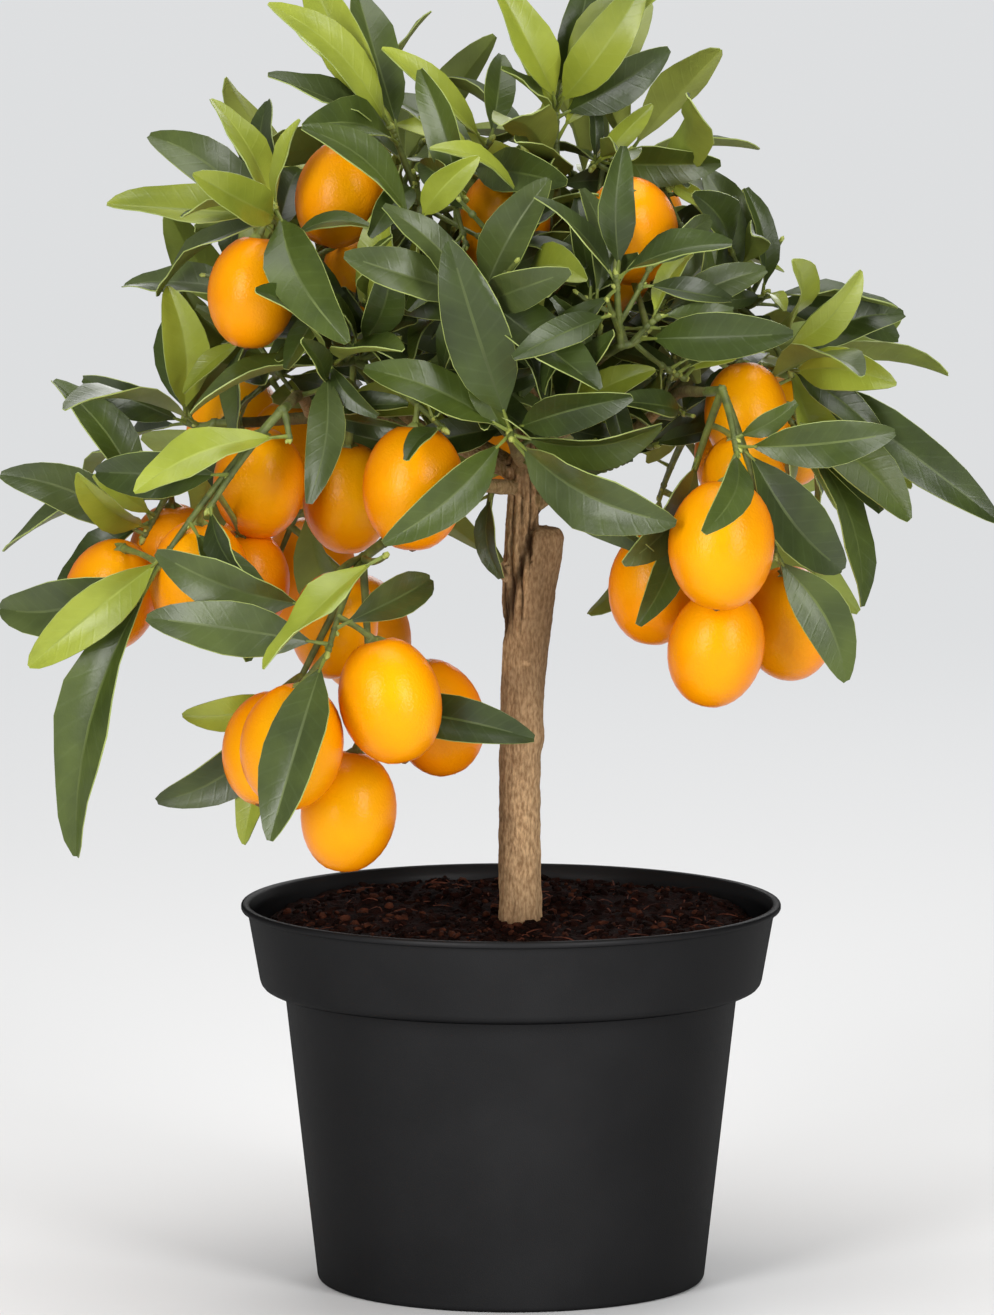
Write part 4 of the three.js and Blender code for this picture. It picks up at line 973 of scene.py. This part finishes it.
LEAF_TONES = {
    "leaves_deep": ((61, 75, 27), (44, 55, 20), (118, 132, 48)),
    "leaves_green": ((76, 90, 32), (57, 70, 24), (132, 146, 54)),
    "leaves_grey": ((78, 90, 43), (60, 71, 34), (124, 138, 60)),
    "leaves_young": ((136, 145, 48), (113, 124, 38), (145, 154, 62)),
    "leaves_fresh": ((152, 162, 57), (131, 142, 44), (157, 166, 71)),
}
MARGIN_TONE = ((160, 172, 96), (132, 146, 74))
RIB_LIFT = 0.16  # how far the midrib's tone goes from the blade's to the margin's
UNDER_SHADE = 0.84
for tone, (light, dark, below) in LEAF_TONES.items():
    softer = [c * UNDER_SHADE for c in below]
    rib = [[mix(a, b, RIB_LIFT) for a, b in zip(blade_tone, MARGIN_TONE[0])]
           for blade_tone in (light, dark)]
    materials = [
        veined(finish_of(tone + "_top", light, dark, 55, 700, 0.05, roughness=0.33, specular=0.42)),
        veined(finish_of(tone + "_under", below, softer, 60, 500, 0.06, roughness=0.6)),
        finish_of(tone + "_margin", *MARGIN_TONE, 80, 500, 0.02),
        finish_of(tone + "_midrib", *rib, 80, 500, 0.02),
    ]
    heaps[tone].piece(tone, materials, sharp=60)

# %% [markdown]
# ## Twigs, petioles and buds
# Green twigs taper a little from the fork to the tip. Each leaf stands on a short petiole, and
# above it sits a small pale bud on a swollen node, which gives a citrus twig its knobbly line.

# %% Twigs and what sits on them
STEM_RADII, TWIG_SIDES = (1.6, 1.5), 8
TWIG = {"radii": (1.35, 1.1, 0.85), "sides": TWIG_SIDES, "steps": 12,
        "node": (1.65, 2.2), "bud": (1.1, 1.9)}
SIDE_TWIG = {"radii": (0.95, 0.8, 0.65), "sides": 6, "steps": 6,
             "node": (1.2, 1.6), "bud": (0.8, 1.5)}
PETIOLE_RADII, LEAF_NODE, BUD_SIZE = (0.75, 0.6, 0.45), (1.3, 1.8), (0.6, 1.0)
twigs, petioles, buds = Heap(), Heap(), Heap()

bpy.ops.mesh.primitive_ico_sphere_add(subdivisions=1, radius=1)
BUD_MASTER = master_of(bpy.context.active_object)


def add_ball(heap, centre, axis, wide, long):
    """A small bud, drawn out along an axis."""
    basis = basis_of(axis) * np.array([[wide], [wide], [long]])
    heap.add(centre + BUD_MASTER[0] @ basis, BUD_MASTER[1])


def add_twig(at, radii, sides, steps, node, bud):
    """A twig with a swelling at its foot and a bud at its tip, each by its width and length."""
    twigs.add(*tube(at, radii, sides, steps))
    add_ball(twigs, at(0), heading(at, 0), *node)
    add_ball(buds, at(1), heading(at, 1), *bud)


for mass in masses.values():
    twigs.add(*tube(mass["stem"], STEM_RADII, TWIG_SIDES, 3))
    for shoot in mass["shoots"]:
        add_twig(shoot["at"], **TWIG)
for at in side_twigs:
    add_twig(at, **SIDE_TWIG)
for leaf in leaves:
    draw = seeded(leaf["seed"] + 5)
    petioles.add(*tube(lambda t: leaf_lines(leaf, np.array([t * (PETIOLE + 0.02)]))[0][0],
                       PETIOLE_RADII, 6, 4))
    add_ball(twigs, leaf["root"], leaf["axis"], *LEAF_NODE)
    away = unit(leaf["direction"] + leaf["axis"] * 1.4)
    bud_size = mix(*BUD_SIZE, draw())
    add_ball(buds, leaf["root"] + away * 1.5, away, bud_size, bud_size * 1.4)

twigs.piece("twigs", [finish_of("twig_green", (104, 114, 50), (76, 86, 38), 260, 1400, 0.12,
                                roughness=0.55)])
petioles.piece("petioles", [finish_of("petiole_green", (128, 140, 58), (104, 116, 46), 260,
                                      1400, 0.05)])
buds.piece("buds", [finish_of("bud_green", (176, 182, 92), (146, 156, 68), 400, 1600, 0.05)])

# %% [markdown]
# ## The fruit
# A kumquat is an oval citrus, a little flat round its stalk and with a dry scar at the other
# end. The master is a sphere: its top is pressed in with a soft falloff, and its foot a little
# less. Each fruit is the master, drawn out along its own axis. Ripe fruit aren't one colour, so
# they are dealt three tones.

# %% Fruit master
def push(obj, test, far, reach):
    """Moves the points that pass a test up or down, and the ones near them a little less."""
    select_where(obj, test)
    bpy.ops.transform.translate(value=(0, 0, far), use_proportional_edit=True,
                                proportional_edit_falloff="SMOOTH", proportional_size=reach)


bpy.ops.mesh.primitive_uv_sphere_add(segments=30, ring_count=18, radius=1)
globe = bpy.context.active_object
push(globe, lambda p: p.z > 0.99, -0.07, 0.42)
push(globe, lambda p: p.z < -0.99, 0.035, 0.3)
bpy.ops.object.mode_set(mode="OBJECT")
FRUIT_MASTER = master_of(globe)
print("fruit master:", len(FRUIT_MASTER[1]), "faces")

# %% Fruit on their stalks
CALYX_LOBES = 5
CALYX_ROWS = [(1.0, 0.15), (0.62, 1.1), (0.3, 1.7), (1.0, -0.5)]  # share of the reach, height
CALYX_REACH, CALYX_AT, SCAR_AT = (3.3, 1.9), 0.935, 0.965  # the places in half lengths
STALK_RADII = (1.25, 0.95, 0.95, 1.5)
FRUIT_SEED, FRUIT_BROAD, FRUIT_BEND = 900, (0.98, 1.02), (-0.03, 0.03)
fruit_heap, calyx_heap, scar_heap = Heap(), Heap(), Heap()


def add_calyx(fruit):
    """The little five-lobed cap that stays on the fruit round its stalk."""
    n = CALYX_LOBES * 2
    turns = np.arange(n) * math.pi / CALYX_LOBES
    reach = np.array(CALYX_REACH * CALYX_LOBES)
    pole = fruit["centre"] + fruit["axis"] * (fruit["half"] * CALYX_AT)
    rings = [np.column_stack([np.cos(turns) * reach * share, np.sin(turns) * reach * share,
                              np.full(n, height)]) for share, height in CALYX_ROWS]
    faces = band(0, 1, n) + band(1, 2, n) + band(3, 0, n)
    faces += [tuple(2 * n + j for j in range(n)), tuple(3 * n + j for j in reversed(range(n)))]
    calyx_heap.add(pole + np.vstack(rings) @ fruit["basis"], faces)


for number, fruit in enumerate(fruits):
    draw = seeded(FRUIT_SEED + number)
    points = FRUIT_MASTER[0] * fruit["size"] * np.array([mix(*FRUIT_BROAD, draw()), 1, 1])
    points[:, 0] += points[:, 2] ** 2 / fruit["half"] * mix(*FRUIT_BEND, draw())
    fruit_heap.add(fruit["centre"] + points @ fruit["basis"], FRUIT_MASTER[1], int(draw() * 3))
    calyx_heap.add(*tube(fruit["stalk"], STALK_RADII, TWIG_SIDES, 8))
    add_calyx(fruit)
    foot = fruit["centre"] - fruit["axis"] * (fruit["half"] * SCAR_AT)
    add_ball(scar_heap, foot, -fruit["axis"], 1.3, 0.8)
print("points on all fruit:", fruit_heap.count)

# %% Peel, stalks and scars
FRUIT_TONES = {
    "fruit_gold": ((244, 173, 1), (241, 160, 0)),
    "fruit_amber": ((242, 165, 1), (238, 150, 0)),
    "fruit_orange": ((240, 154, 0), (234, 139, 0)),
}
# painted shade: the peel turns a deeper orange towards its outline, where it turns from the eye
FRUIT_TURN, FRUIT_EDGE_SHADE = 0.36, (232, 112, 0)
peel = [finish_of(name, *tones, 45, 1150, 0.14, roughness=0.28, specular=0.16)
        for name, tones in FRUIT_TONES.items()]
for material in peel:
    shaded_at_edges(material, FRUIT_TURN, FRUIT_EDGE_SHADE)
fruit_heap.piece("fruit", peel)
calyx_heap.piece("fruit_stalks", [finish_of("calyx_green", (126, 138, 62), (98, 104, 50), 300,
                                            1200, 0.1, roughness=0.6)])
scar_heap.piece("fruit_scars", [finish_of("scar_brown", (120, 84, 40), (86, 58, 28), 500, 1500,
                                          0.08, roughness=0.8)])

# %% [markdown]
# ## Trunk and boughs
# On the real tree the scion sits against the cut rootstock, and every bough swells where it
# leaves its parent. Each limb is drawn as a curve with a radius at each point. The curves become
# meshes, and one voxel remesh melts them into a single skin with soft forks. Then the skin gets
# its relief: noise that is stretched along each limb, stronger on the old ridged scion, with a
# knot on the stock and a callus round the cut.

# %% Draw the limbs
VOXEL = 0.75
OLD_WOOD = {"stock": 0.0, "trunk": 0.12}  # how green each is
BURIED = 0.1  # a bough's first tenth lies in the skin of its parent
limb_objects, samples = [], []
for name, (at, radii) in limbs.items():
    steps = 32 if name == "stock" else 20
    data = bpy.data.curves.new(name, "CURVE")
    data.dimensions = "3D"
    data.bevel_depth = MM
    data.bevel_resolution = 4
    data.use_fill_caps = True
    spline = data.splines.new("POLY")
    spline.points.add(steps)
    for k, point in enumerate(spline.points):
        t = k / steps
        point.co = (*(at(t) * MM), 1)
        point.radius = radius_at(radii, t)
        if name in OLD_WOOD or (t > BURIED and name != "sprout"):
            samples.append((at(t), name, t))
    limb_objects.append(new_object(name, data))

only(*limb_objects)
bpy.ops.object.convert(target="MESH")
bpy.ops.object.join()
bark = bpy.context.active_object
bark.name = bark.data.name = "bark"
bark.data.remesh_voxel_size = VOXEL * MM
bpy.ops.object.voxel_remesh()
print("bark skin:", len(bark.data.polygons), "faces")

# %% Where the bark is rough
KNOT, CUT, CUT_RADIUS = np.array([9.2, -2.0, 172.0]), np.array([9.8, 0.0, 238.4]), 6.5
STRETCH_ALONG = 0.85
RIDGES, RIDGE_WANDER = 13, 2.6  # round the old scion
RIDGES_FROM = 0.22  # share of the scion over which its ridges grow out of the graft
RIDGE_HIGH, KNOT_HIGH, CALLUS_HIGH, SEAM_DEEP = 0.5, 1.2, 0.5, 0.7
KNOT_SPREAD, CALLUS_SPREAD, SEAM_WIDTH = 18, 3, 0.9
FOOT_DARK_HEIGHT = 6  # height over which the foot grows darker towards the soil
UPPER_SHADE, UPPER_SHADE_FROM, UPPER_SHADE_OVER = 0.42, 140, 50  # painted shade: the stock darker towards the graft
FOOT_DARK, PATCH_DARK = 0.8, 0.6
tree_of_samples = kdtree.KDTree(len(samples))
for k, (point, name, t) in enumerate(samples):
    tree_of_samples.insert(point, k)
tree_of_samples.balance()
axes = {name: (at(0), unit(at(1) - at(0))) for name, (at, radii) in limbs.items()}
rails = {name: along(limbs[name][0], 60) for name in OLD_WOOD}


def grain(q, size, seed):
    return noise.noise(Vector(q) / size + Vector((seed, seed * 1.7, 0)))


def skin_gap(p, limb):
    """How far a point lies outside the round skin of an old limb."""
    line = rails[limb]
    k = np.argmin(((line - p) ** 2).sum(1))
    return np.linalg.norm(line[k] - p) - radius_at(limbs[limb][1], k / (len(line) - 1))


print("samples along the limbs:", len(samples))

# %% Raise the relief
mesh = bark.data
places = np.array([v.co for v in mesh.vertices]) / MM
normals = np.array([n.vector for n in mesh.vertex_normals])
green, groove, stain_and_shade = np.zeros((3, len(places)), np.float32)
for k, p in enumerate(places):
    point, name, t = samples[tree_of_samples.find(p)[1]]
    start, axis = axes[name]
    away = p - start
    q = away - axis * (away @ axis) * STRETCH_ALONG
    fibre = grain(q, 1.6, 2)  # each layer has its height in front, then its size and seed
    lift = 0.25 * grain(q, 2.6, 1) + 0.16 * fibre + 0.12 * grain(away, 1.1, 3)
    lift += (0.45 if name in OLD_WOOD else 0.08) * grain(away, 6, 4)
    groove[k] = 0.22 * max(-fibre - 0.1, 0)
    # dark patches at random, and the foot darker towards the soil
    stain_and_shade[k] = (PATCH_DARK * max(grain(q, 9, 6), 0)
                + FOOT_DARK * math.exp((SOIL_TOP - p[2]) / FOOT_DARK_HEIGHT))
    green[k] = 0.4 + 0.6 * t
    # painted shade: the stock grows darker towards the graft
    if name == "stock":
        stain_and_shade[k] += UPPER_SHADE * min(max((p[2] - UPPER_SHADE_FROM) / UPPER_SHADE_OVER, 0), 1)
    if name == "trunk":
        flat = away - axis * (away @ axis)
        turn = math.atan2(flat[1], flat[0]) * RIDGES + RIDGE_WANDER * grain(q, 4, 5)
        grown = min(t / RIDGES_FROM, 1) ** 2
        lift += RIDGE_HIGH * grown * math.cos(turn)
        groove[k] += grown * max(-math.cos(turn), 0) ** 2.6
    if name in OLD_WOOD:
        lift += KNOT_HIGH * math.exp(-np.sum((p - KNOT) ** 2) / KNOT_SPREAD)
        ring = np.linalg.norm(p - CUT) - CUT_RADIUS
        lift += CALLUS_HIGH * math.exp(-ring * ring / CALLUS_SPREAD)
        meet = math.exp(-((skin_gap(p, "stock") - skin_gap(p, "trunk")) / SEAM_WIDTH) ** 2)
        lift -= SEAM_DEEP * meet
        groove[k] += 0.9 * meet
        green[k] = OLD_WOOD[name] + (0.12 * t if name == "stock" else 0)
    places[k] = p + normals[k] * lift
mesh.vertices.foreach_set("co", (places * MM).astype(np.float32).ravel())
for name, values, most in (("green", green, 1), ("groove", groove, 1), ("stain_and_shade", stain_and_shade, 0.85)):
    mesh.attributes.new(name, "FLOAT", "POINT").data.foreach_set("value", np.clip(values, 0, most))
mesh.update()
mesh.shade_smooth()
print("deepest groove's mask:", round(float(groove.max()), 2))

# %% Bark finish
bark_finish = finish_of("bark", (230, 192, 146), (166, 130, 92), 1250, 2400, 0.3, 0.36,
                        roughness=0.9, specular=0.2)
tree = bark_finish.node_tree
color = source_of(tree, "Principled BSDF", "Base Color")
young = mottled(tree, (104, 106, 56), (72, 74, 40), 300, 1500, 0.3)["Color"]
# one dark tone serves the random stains, the darker foot and the painted shade on the upper stock
for mask, other in (("green", young), ("stain_and_shade", linear(104, 82, 58)),
                    ("groove", linear(62, 44, 26))):
    strength = add(tree, "Attribute", attribute_name=mask).outputs["Fac"]
    color = blended(tree, strength, color, other)
put(tree.nodes["Principled BSDF"], {"Base Color": color})
mesh.materials.clear()
mesh.materials.append(bark_finish)
settle(bark, LIMB_NODES)

# %% [markdown]
# ## The pot
# A nursery pot is moulded in one shot: a thin tapered wall, a deep collar for lifting, a lip at
# the rim. Half of its outline is drawn once, with its corners rounded by short arcs, and spun
# round the upright axis. The drain holes are cut through the floor with a Boolean.

# %% The pot's outline
WALL, FLOOR_UP = 1.6, 1.2
LIP_HEIGHT, RIM_WIDTH, RIM_BEVEL = 2.2, 2.4, 3
COLLAR_TOP, COLLAR_FOOT, COLLAR_HEIGHT = 83, 78.6, 27
BODY_TOP, FOOT, FOOT_RING = 71.4, 61, 8
collar_z, lip_z, bevel_z = (POT_HEIGHT - drop for drop in (COLLAR_HEIGHT, LIP_HEIGHT, RIM_BEVEL))
floor_z = WALL + FLOOR_UP


def rounded(corners):
    """An outline from corners of (r, z, rounding), with an arc in place of each sharp corner."""
    outline = []
    for k, (r, z, size) in enumerate(corners):
        here = np.array([r, z], float)
        if size == 0:
            outline.append(here)
            continue
        back, ahead = (unit(np.array(corners[n][:2], float) - here) for n in (k - 1, k + 1))
        for t in (0, 0.25, 0.5, 0.75, 1):
            outline.append(here + back * size * (1 - t) ** 2 + ahead * size * t ** 2)
    return outline


def inner_radius(z):
    """Radius of the collar's inner face at a height."""
    return COLLAR_FOOT + (COLLAR_TOP - COLLAR_FOOT) * (z - collar_z) / COLLAR_HEIGHT - WALL


pot_outline = rounded([
    (0, FLOOR_UP, 0), (FOOT - FOOT_RING - 1, FLOOR_UP, 0.6), (FOOT - FOOT_RING, 0, 0.5),
    (FOOT, 0, 1.8), (BODY_TOP, collar_z, 0.8), (COLLAR_FOOT, collar_z, 3),
    (COLLAR_TOP, lip_z, 0.4), (POT_RIM, lip_z, 0.9), (POT_RIM, POT_HEIGHT, 1.1),
    (POT_RIM - RIM_WIDTH, POT_HEIGHT, 1), (inner_radius(bevel_z), bevel_z, 1),
    (inner_radius(collar_z + WALL), collar_z + WALL, 1.5), (BODY_TOP - WALL, collar_z + WALL, 1),
    (FOOT - WALL, floor_z, 1.5), (0, floor_z, 0),
])
print("points in the outline:", len(pot_outline))

# %% Spin the pot
SPIN_STEPS = 96
DRAIN_HOLES, DRAIN_RADIUS, DRAIN_RING = 6, 4, 46


def spun(name, outline, steps):
    """A closed body made by turning an outline of (r, z), in millimetres, round the axis."""
    data = bpy.data.meshes.new(name)
    chain = [(k, k + 1) for k in range(len(outline) - 1)]
    data.from_pydata([(r * MM, 0, z * MM) for r, z in outline], chain, [])
    made = new_object(name, data)
    only(made)
    bpy.ops.object.mode_set(mode="EDIT")
    bpy.ops.mesh.select_all(action="SELECT")
    bpy.ops.mesh.spin(steps=steps, angle=2 * math.pi, center=(0, 0, 0), axis=(0, 0, 1))
    bpy.ops.mesh.select_all(action="SELECT")
    bpy.ops.mesh.remove_doubles(threshold=0.00001)
    bpy.ops.mesh.normals_make_consistent(inside=False)
    bpy.ops.object.mode_set(mode="OBJECT")
    return made


pot = spun("pot_shell", pot_outline, SPIN_STEPS)
drills = []
for k in range(DRAIN_HOLES):
    angle = 2 * math.pi * k / DRAIN_HOLES
    place = (DRAIN_RING * math.cos(angle) * MM, DRAIN_RING * math.sin(angle) * MM, 0)
    bpy.ops.mesh.primitive_cylinder_add(vertices=24, radius=DRAIN_RADIUS * MM, depth=12 * MM,
                                        location=place)
    drills.append(bpy.context.active_object)
only(*drills)
bpy.ops.object.join()
drill = bpy.context.active_object
cut = pot.modifiers.new("drain holes", "BOOLEAN")
cut.object, cut.operation, cut.solver = drill, "DIFFERENCE", "EXACT"
only(pot)
bpy.ops.object.modifier_apply(modifier=cut.name)
bpy.data.objects.remove(drill)
pot.data.shade_smooth()
pot.data.set_sharp_from_angle(angle=math.radians(32))
print("pot, mm:", [round(side / MM, 1) for side in pot.dimensions])

# %% Pot finish
# painted shade: the plastic turns near black towards its outline, where it turns from the eye, and
# its gloss fades there too
POT_TURN, POT_EDGE_SHADE, POT_SPECULAR = 0.7, (6, 6, 7), 0.14
pot_plastic = finish_of("pot_plastic", (36, 36, 37), (31, 31, 32), 30, 2600, 0.06, roughness=0.4)
tree = pot_plastic.node_tree
turn = shaded_at_edges(pot_plastic, POT_TURN, POT_EDGE_SHADE)
gloss = add(tree, "MapRange", {"Value": turn, "To Min": POT_SPECULAR, "To Max": 0})
put(tree.nodes["Principled BSDF"], {"Specular IOR Level": gloss.outputs["Result"]})
pot.data.materials.append(pot_plastic)
settle(pot, ["pot"])

# %% [markdown]
# ## The soil
# Peat compost is dark and crumbly, with red-brown fibres in it. Its outline is spun as the pot's
# is, with many rings over the top, and those rings are roughened for the ground itself. Crumbs
# and fibres are then strewn over it by a seeded rule. They lie on the rough surface, whose
# height is one function that all of them ask.

# %% Ground
SOIL_RINGS, SOIL_STEPS = 52, 132
EDGE_DROP = 1.4
HEAP, HEAP_FROM, HEAP_TO = 5.2, -6, 58  # the compost lies higher at the back of the pot
MOUND, MOUND_SPREAD, SINK = 3.2, 200, 0.6  # a mound round the trunk, in a slightly sunken top
LUMPS = ((1.5, 0, 14), (0.9, 5, 5), (0.6, 9, 2.2))  # height, seed and size of each noise
SOIL_EDGE = inner_radius(SOIL_TOP - EDGE_DROP) - GAP
TRUNK_X = STOCK[0][0]


def soil_height(x, y):
    """Height of the compost at a place, in millimetres."""
    rough = sum(high * noise.noise(Vector((x, y, seed)) / size)
                for high, seed, size in LUMPS)
    sag = EDGE_DROP * (math.hypot(x, y) / SOIL_EDGE) ** 6
    mound = MOUND * math.exp(-((x - TRUNK_X) ** 2 + y ** 2) / MOUND_SPREAD)
    back = min(max((y - HEAP_FROM) / (HEAP_TO - HEAP_FROM), 0), 1)
    return SOIL_TOP - SINK - sag + rough + mound + HEAP * back * back * (3 - 2 * back)


soil_outline = [(0, 2 * WALL), (FOOT - WALL - GAP, 2 * WALL),
                (BODY_TOP - WALL - GAP, collar_z + WALL + GAP),
                (COLLAR_FOOT - WALL - GAP, collar_z + WALL + GAP)]
soil_outline += [(SOIL_EDGE * (1 - k / SOIL_RINGS), SOIL_TOP) for k in range(SOIL_RINGS + 1)]
compost = spun("compost", soil_outline, SOIL_STEPS)
for v in compost.data.vertices:
    if v.co.z > (SOIL_TOP - 1) * MM:
        v.co.z = soil_height(v.co.x / MM, v.co.y / MM) * MM
compost.data.shade_smooth()
compost.data.materials.append(finish_of("peat", (32, 14, 10), (12, 6, 4), 330, 1300, 0.8,
                                        roughness=1, specular=0.05))
settle(compost, ["soil"])

# %% Crumbs and fibres
CRUMBS, FIBRES, FOOT_CRUMBS = 2600, 380, 90
CRUMB_TONES = [("crumb_dark", (24, 11, 8), (12, 6, 4)), ("crumb_brown", (38, 18, 12), (22, 11, 7)),
               ("crumb_bark", (76, 42, 29), (48, 26, 18))]
FIBRE_TONES = [("fibre_red", (104, 60, 44), (62, 32, 24)),
               ("fibre_dark", (40, 21, 16), (25, 13, 10))]
crumbs, fibres = Heap(), Heap()
draw = seeded(4242)


def strewn_place(at_foot=False):
    """A place on the soil, clear of the trunk and of the pot's wall, or close round the trunk."""
    while True:
        r = mix(7.2, 10, draw()) if at_foot else (SOIL_EDGE - 3) * math.sqrt(draw())
        angle = 2 * math.pi * draw()
        x, y = (TRUNK_X if at_foot else 0) + r * math.cos(angle), r * math.sin(angle)
        if at_foot or math.hypot(x - TRUNK_X, y) > 9:
            return np.array([x, y, soil_height(x, y)])


for k in range(CRUMBS + FOOT_CRUMBS):
    place, size = strewn_place(k >= CRUMBS), mix(0.3, 1.9, draw() ** 2.6)
    basis = basis_of(unit(np.array([draw() - 0.5, draw() - 0.5, 0.6])))
    shape = size * np.array([mix(0.7, 1.4, draw()), mix(0.7, 1.2, draw()), mix(0.5, 0.9, draw())])
    crumbs.add(place + UP * size * 0.2 + (BUD_MASTER[0] * shape) @ basis, BUD_MASTER[1],
               int(draw() * 2.4))
for k in range(FIBRES):
    place, length, turn = strewn_place(), mix(2.5, 9, draw() ** 1.6), 2 * math.pi * draw()
    away = np.array([math.cos(turn), math.sin(turn), mix(-0.1, 0.28, draw())]) * length
    thin, end = mix(0.1, 0.26, draw()), place + away
    if math.hypot(end[0], end[1]) < SOIL_EDGE - 2:
        fibres.add(*tube(arc_curve(place, end, mix(0.3, 1.6, draw())),
                         (thin, thin * 1.2, thin * 0.5), 4, 3), int(draw() * 2))
crumbs.piece("crumbs", [finish_of(*tone, 400, 1800, 0.3, roughness=1, specular=0.05)
                        for tone in CRUMB_TONES], "soil", ["soil"], sharp=30)
fibres.piece("fibres", [finish_of(*tone, 400, 1800, 0.1, roughness=1, specular=0.1)
                        for tone in FIBRE_TONES], "soil", ["soil"])

# %% [markdown]
# ## Floor and light
# A plain pale floor and large soft lights show the plant as a catalogue would: one tall softbox
# on each side of the camera, which puts a soft highlight on both sides of every fruit, a broad
# light overhead, and a dim surround that fills the shadows. Seen by the camera, the floor fades
# with distance into the pale tone of the surround, so no horizon shows.

# %% Floor
FLOOR_HALF = 15
PALE, GREY, BLACK = (0.72, 0.73, 0.74, 1), (0.8, 0.8, 0.8, 1), (0, 0, 0, 1)
FADE_FROM, FADE_TO = 0.3, 1.8  # metres from the pot

bpy.ops.mesh.primitive_plane_add(size=2 * FLOOR_HALF, location=(0, 0, 0))
floor = bpy.context.active_object
floor.name = floor.data.name = "floor"
paint, tree, shader = new_material("floor_paint")
reach = add(tree, "VectorMath", {0: add(tree, "TexCoord").outputs["Object"]}, operation="LENGTH")
fade = add(tree, "MapRange", {"Value": reach.outputs["Value"], "From Min": FADE_FROM,
                              "From Max": FADE_TO}, interpolation_type="SMOOTHSTEP")
far_and_seen = math_of(tree, "MULTIPLY", fade.outputs["Result"],
                      add(tree, "LightPath").outputs["Is Camera Ray"])
put(shader, {"Roughness": 0.9, "Specular IOR Level": 0.1, "Emission Strength": 1,
             "Base Color": blended(tree, far_and_seen, GREY, BLACK),
             "Emission Color": blended(tree, far_and_seen, BLACK, PALE)})
floor.data.materials.append(paint)
print("floor, m:", 2 * FLOOR_HALF)

# %% Lights
AIM = Vector((0, 0, 0.24))
SURROUND_LIGHT = 0.2
for name, place, wide, tall, watts in (
        ("left_box", (-1.0, -1.6, 0.75), 0.55, 1.2, 25),
        ("right_box", (1.05, -1.5, 0.7), 0.55, 1.2, 21),
        ("overhead", (0, 0.1, 1.7), 1.4, 1.2, 18),
        ("back_fill", (0.3, 1.9, 1.0), 1.4, 1.0, 14)):
    data = bpy.data.lights.new(name, "AREA")
    data.shape, data.size, data.size_y, data.energy = "RECTANGLE", wide, tall, watts
    lamp = new_object(name, data)
    lamp.location = place
    lamp.rotation_euler = (AIM - Vector(place)).to_track_quat("-Z", "Y").to_euler()
    print(name, "watts:", watts)

world = bpy.data.worlds.new("pale surround")
world.use_nodes = True
tree = world.node_tree
lit = put(tree.nodes["Background"], {"Color": (1, 1, 1, 1), "Strength": SURROUND_LIGHT})
shown = add(tree, "Background", {"Color": PALE})
either = add(tree, "MixShader", {0: add(tree, "LightPath").outputs["Is Camera Ray"],
                                 1: lit.outputs[0], 2: shown.outputs[0]})
put(tree.nodes["World Output"], {"Surface": either.outputs[0]})
bpy.context.scene.world = world
bpy.context.scene.view_settings.view_transform = "Standard"
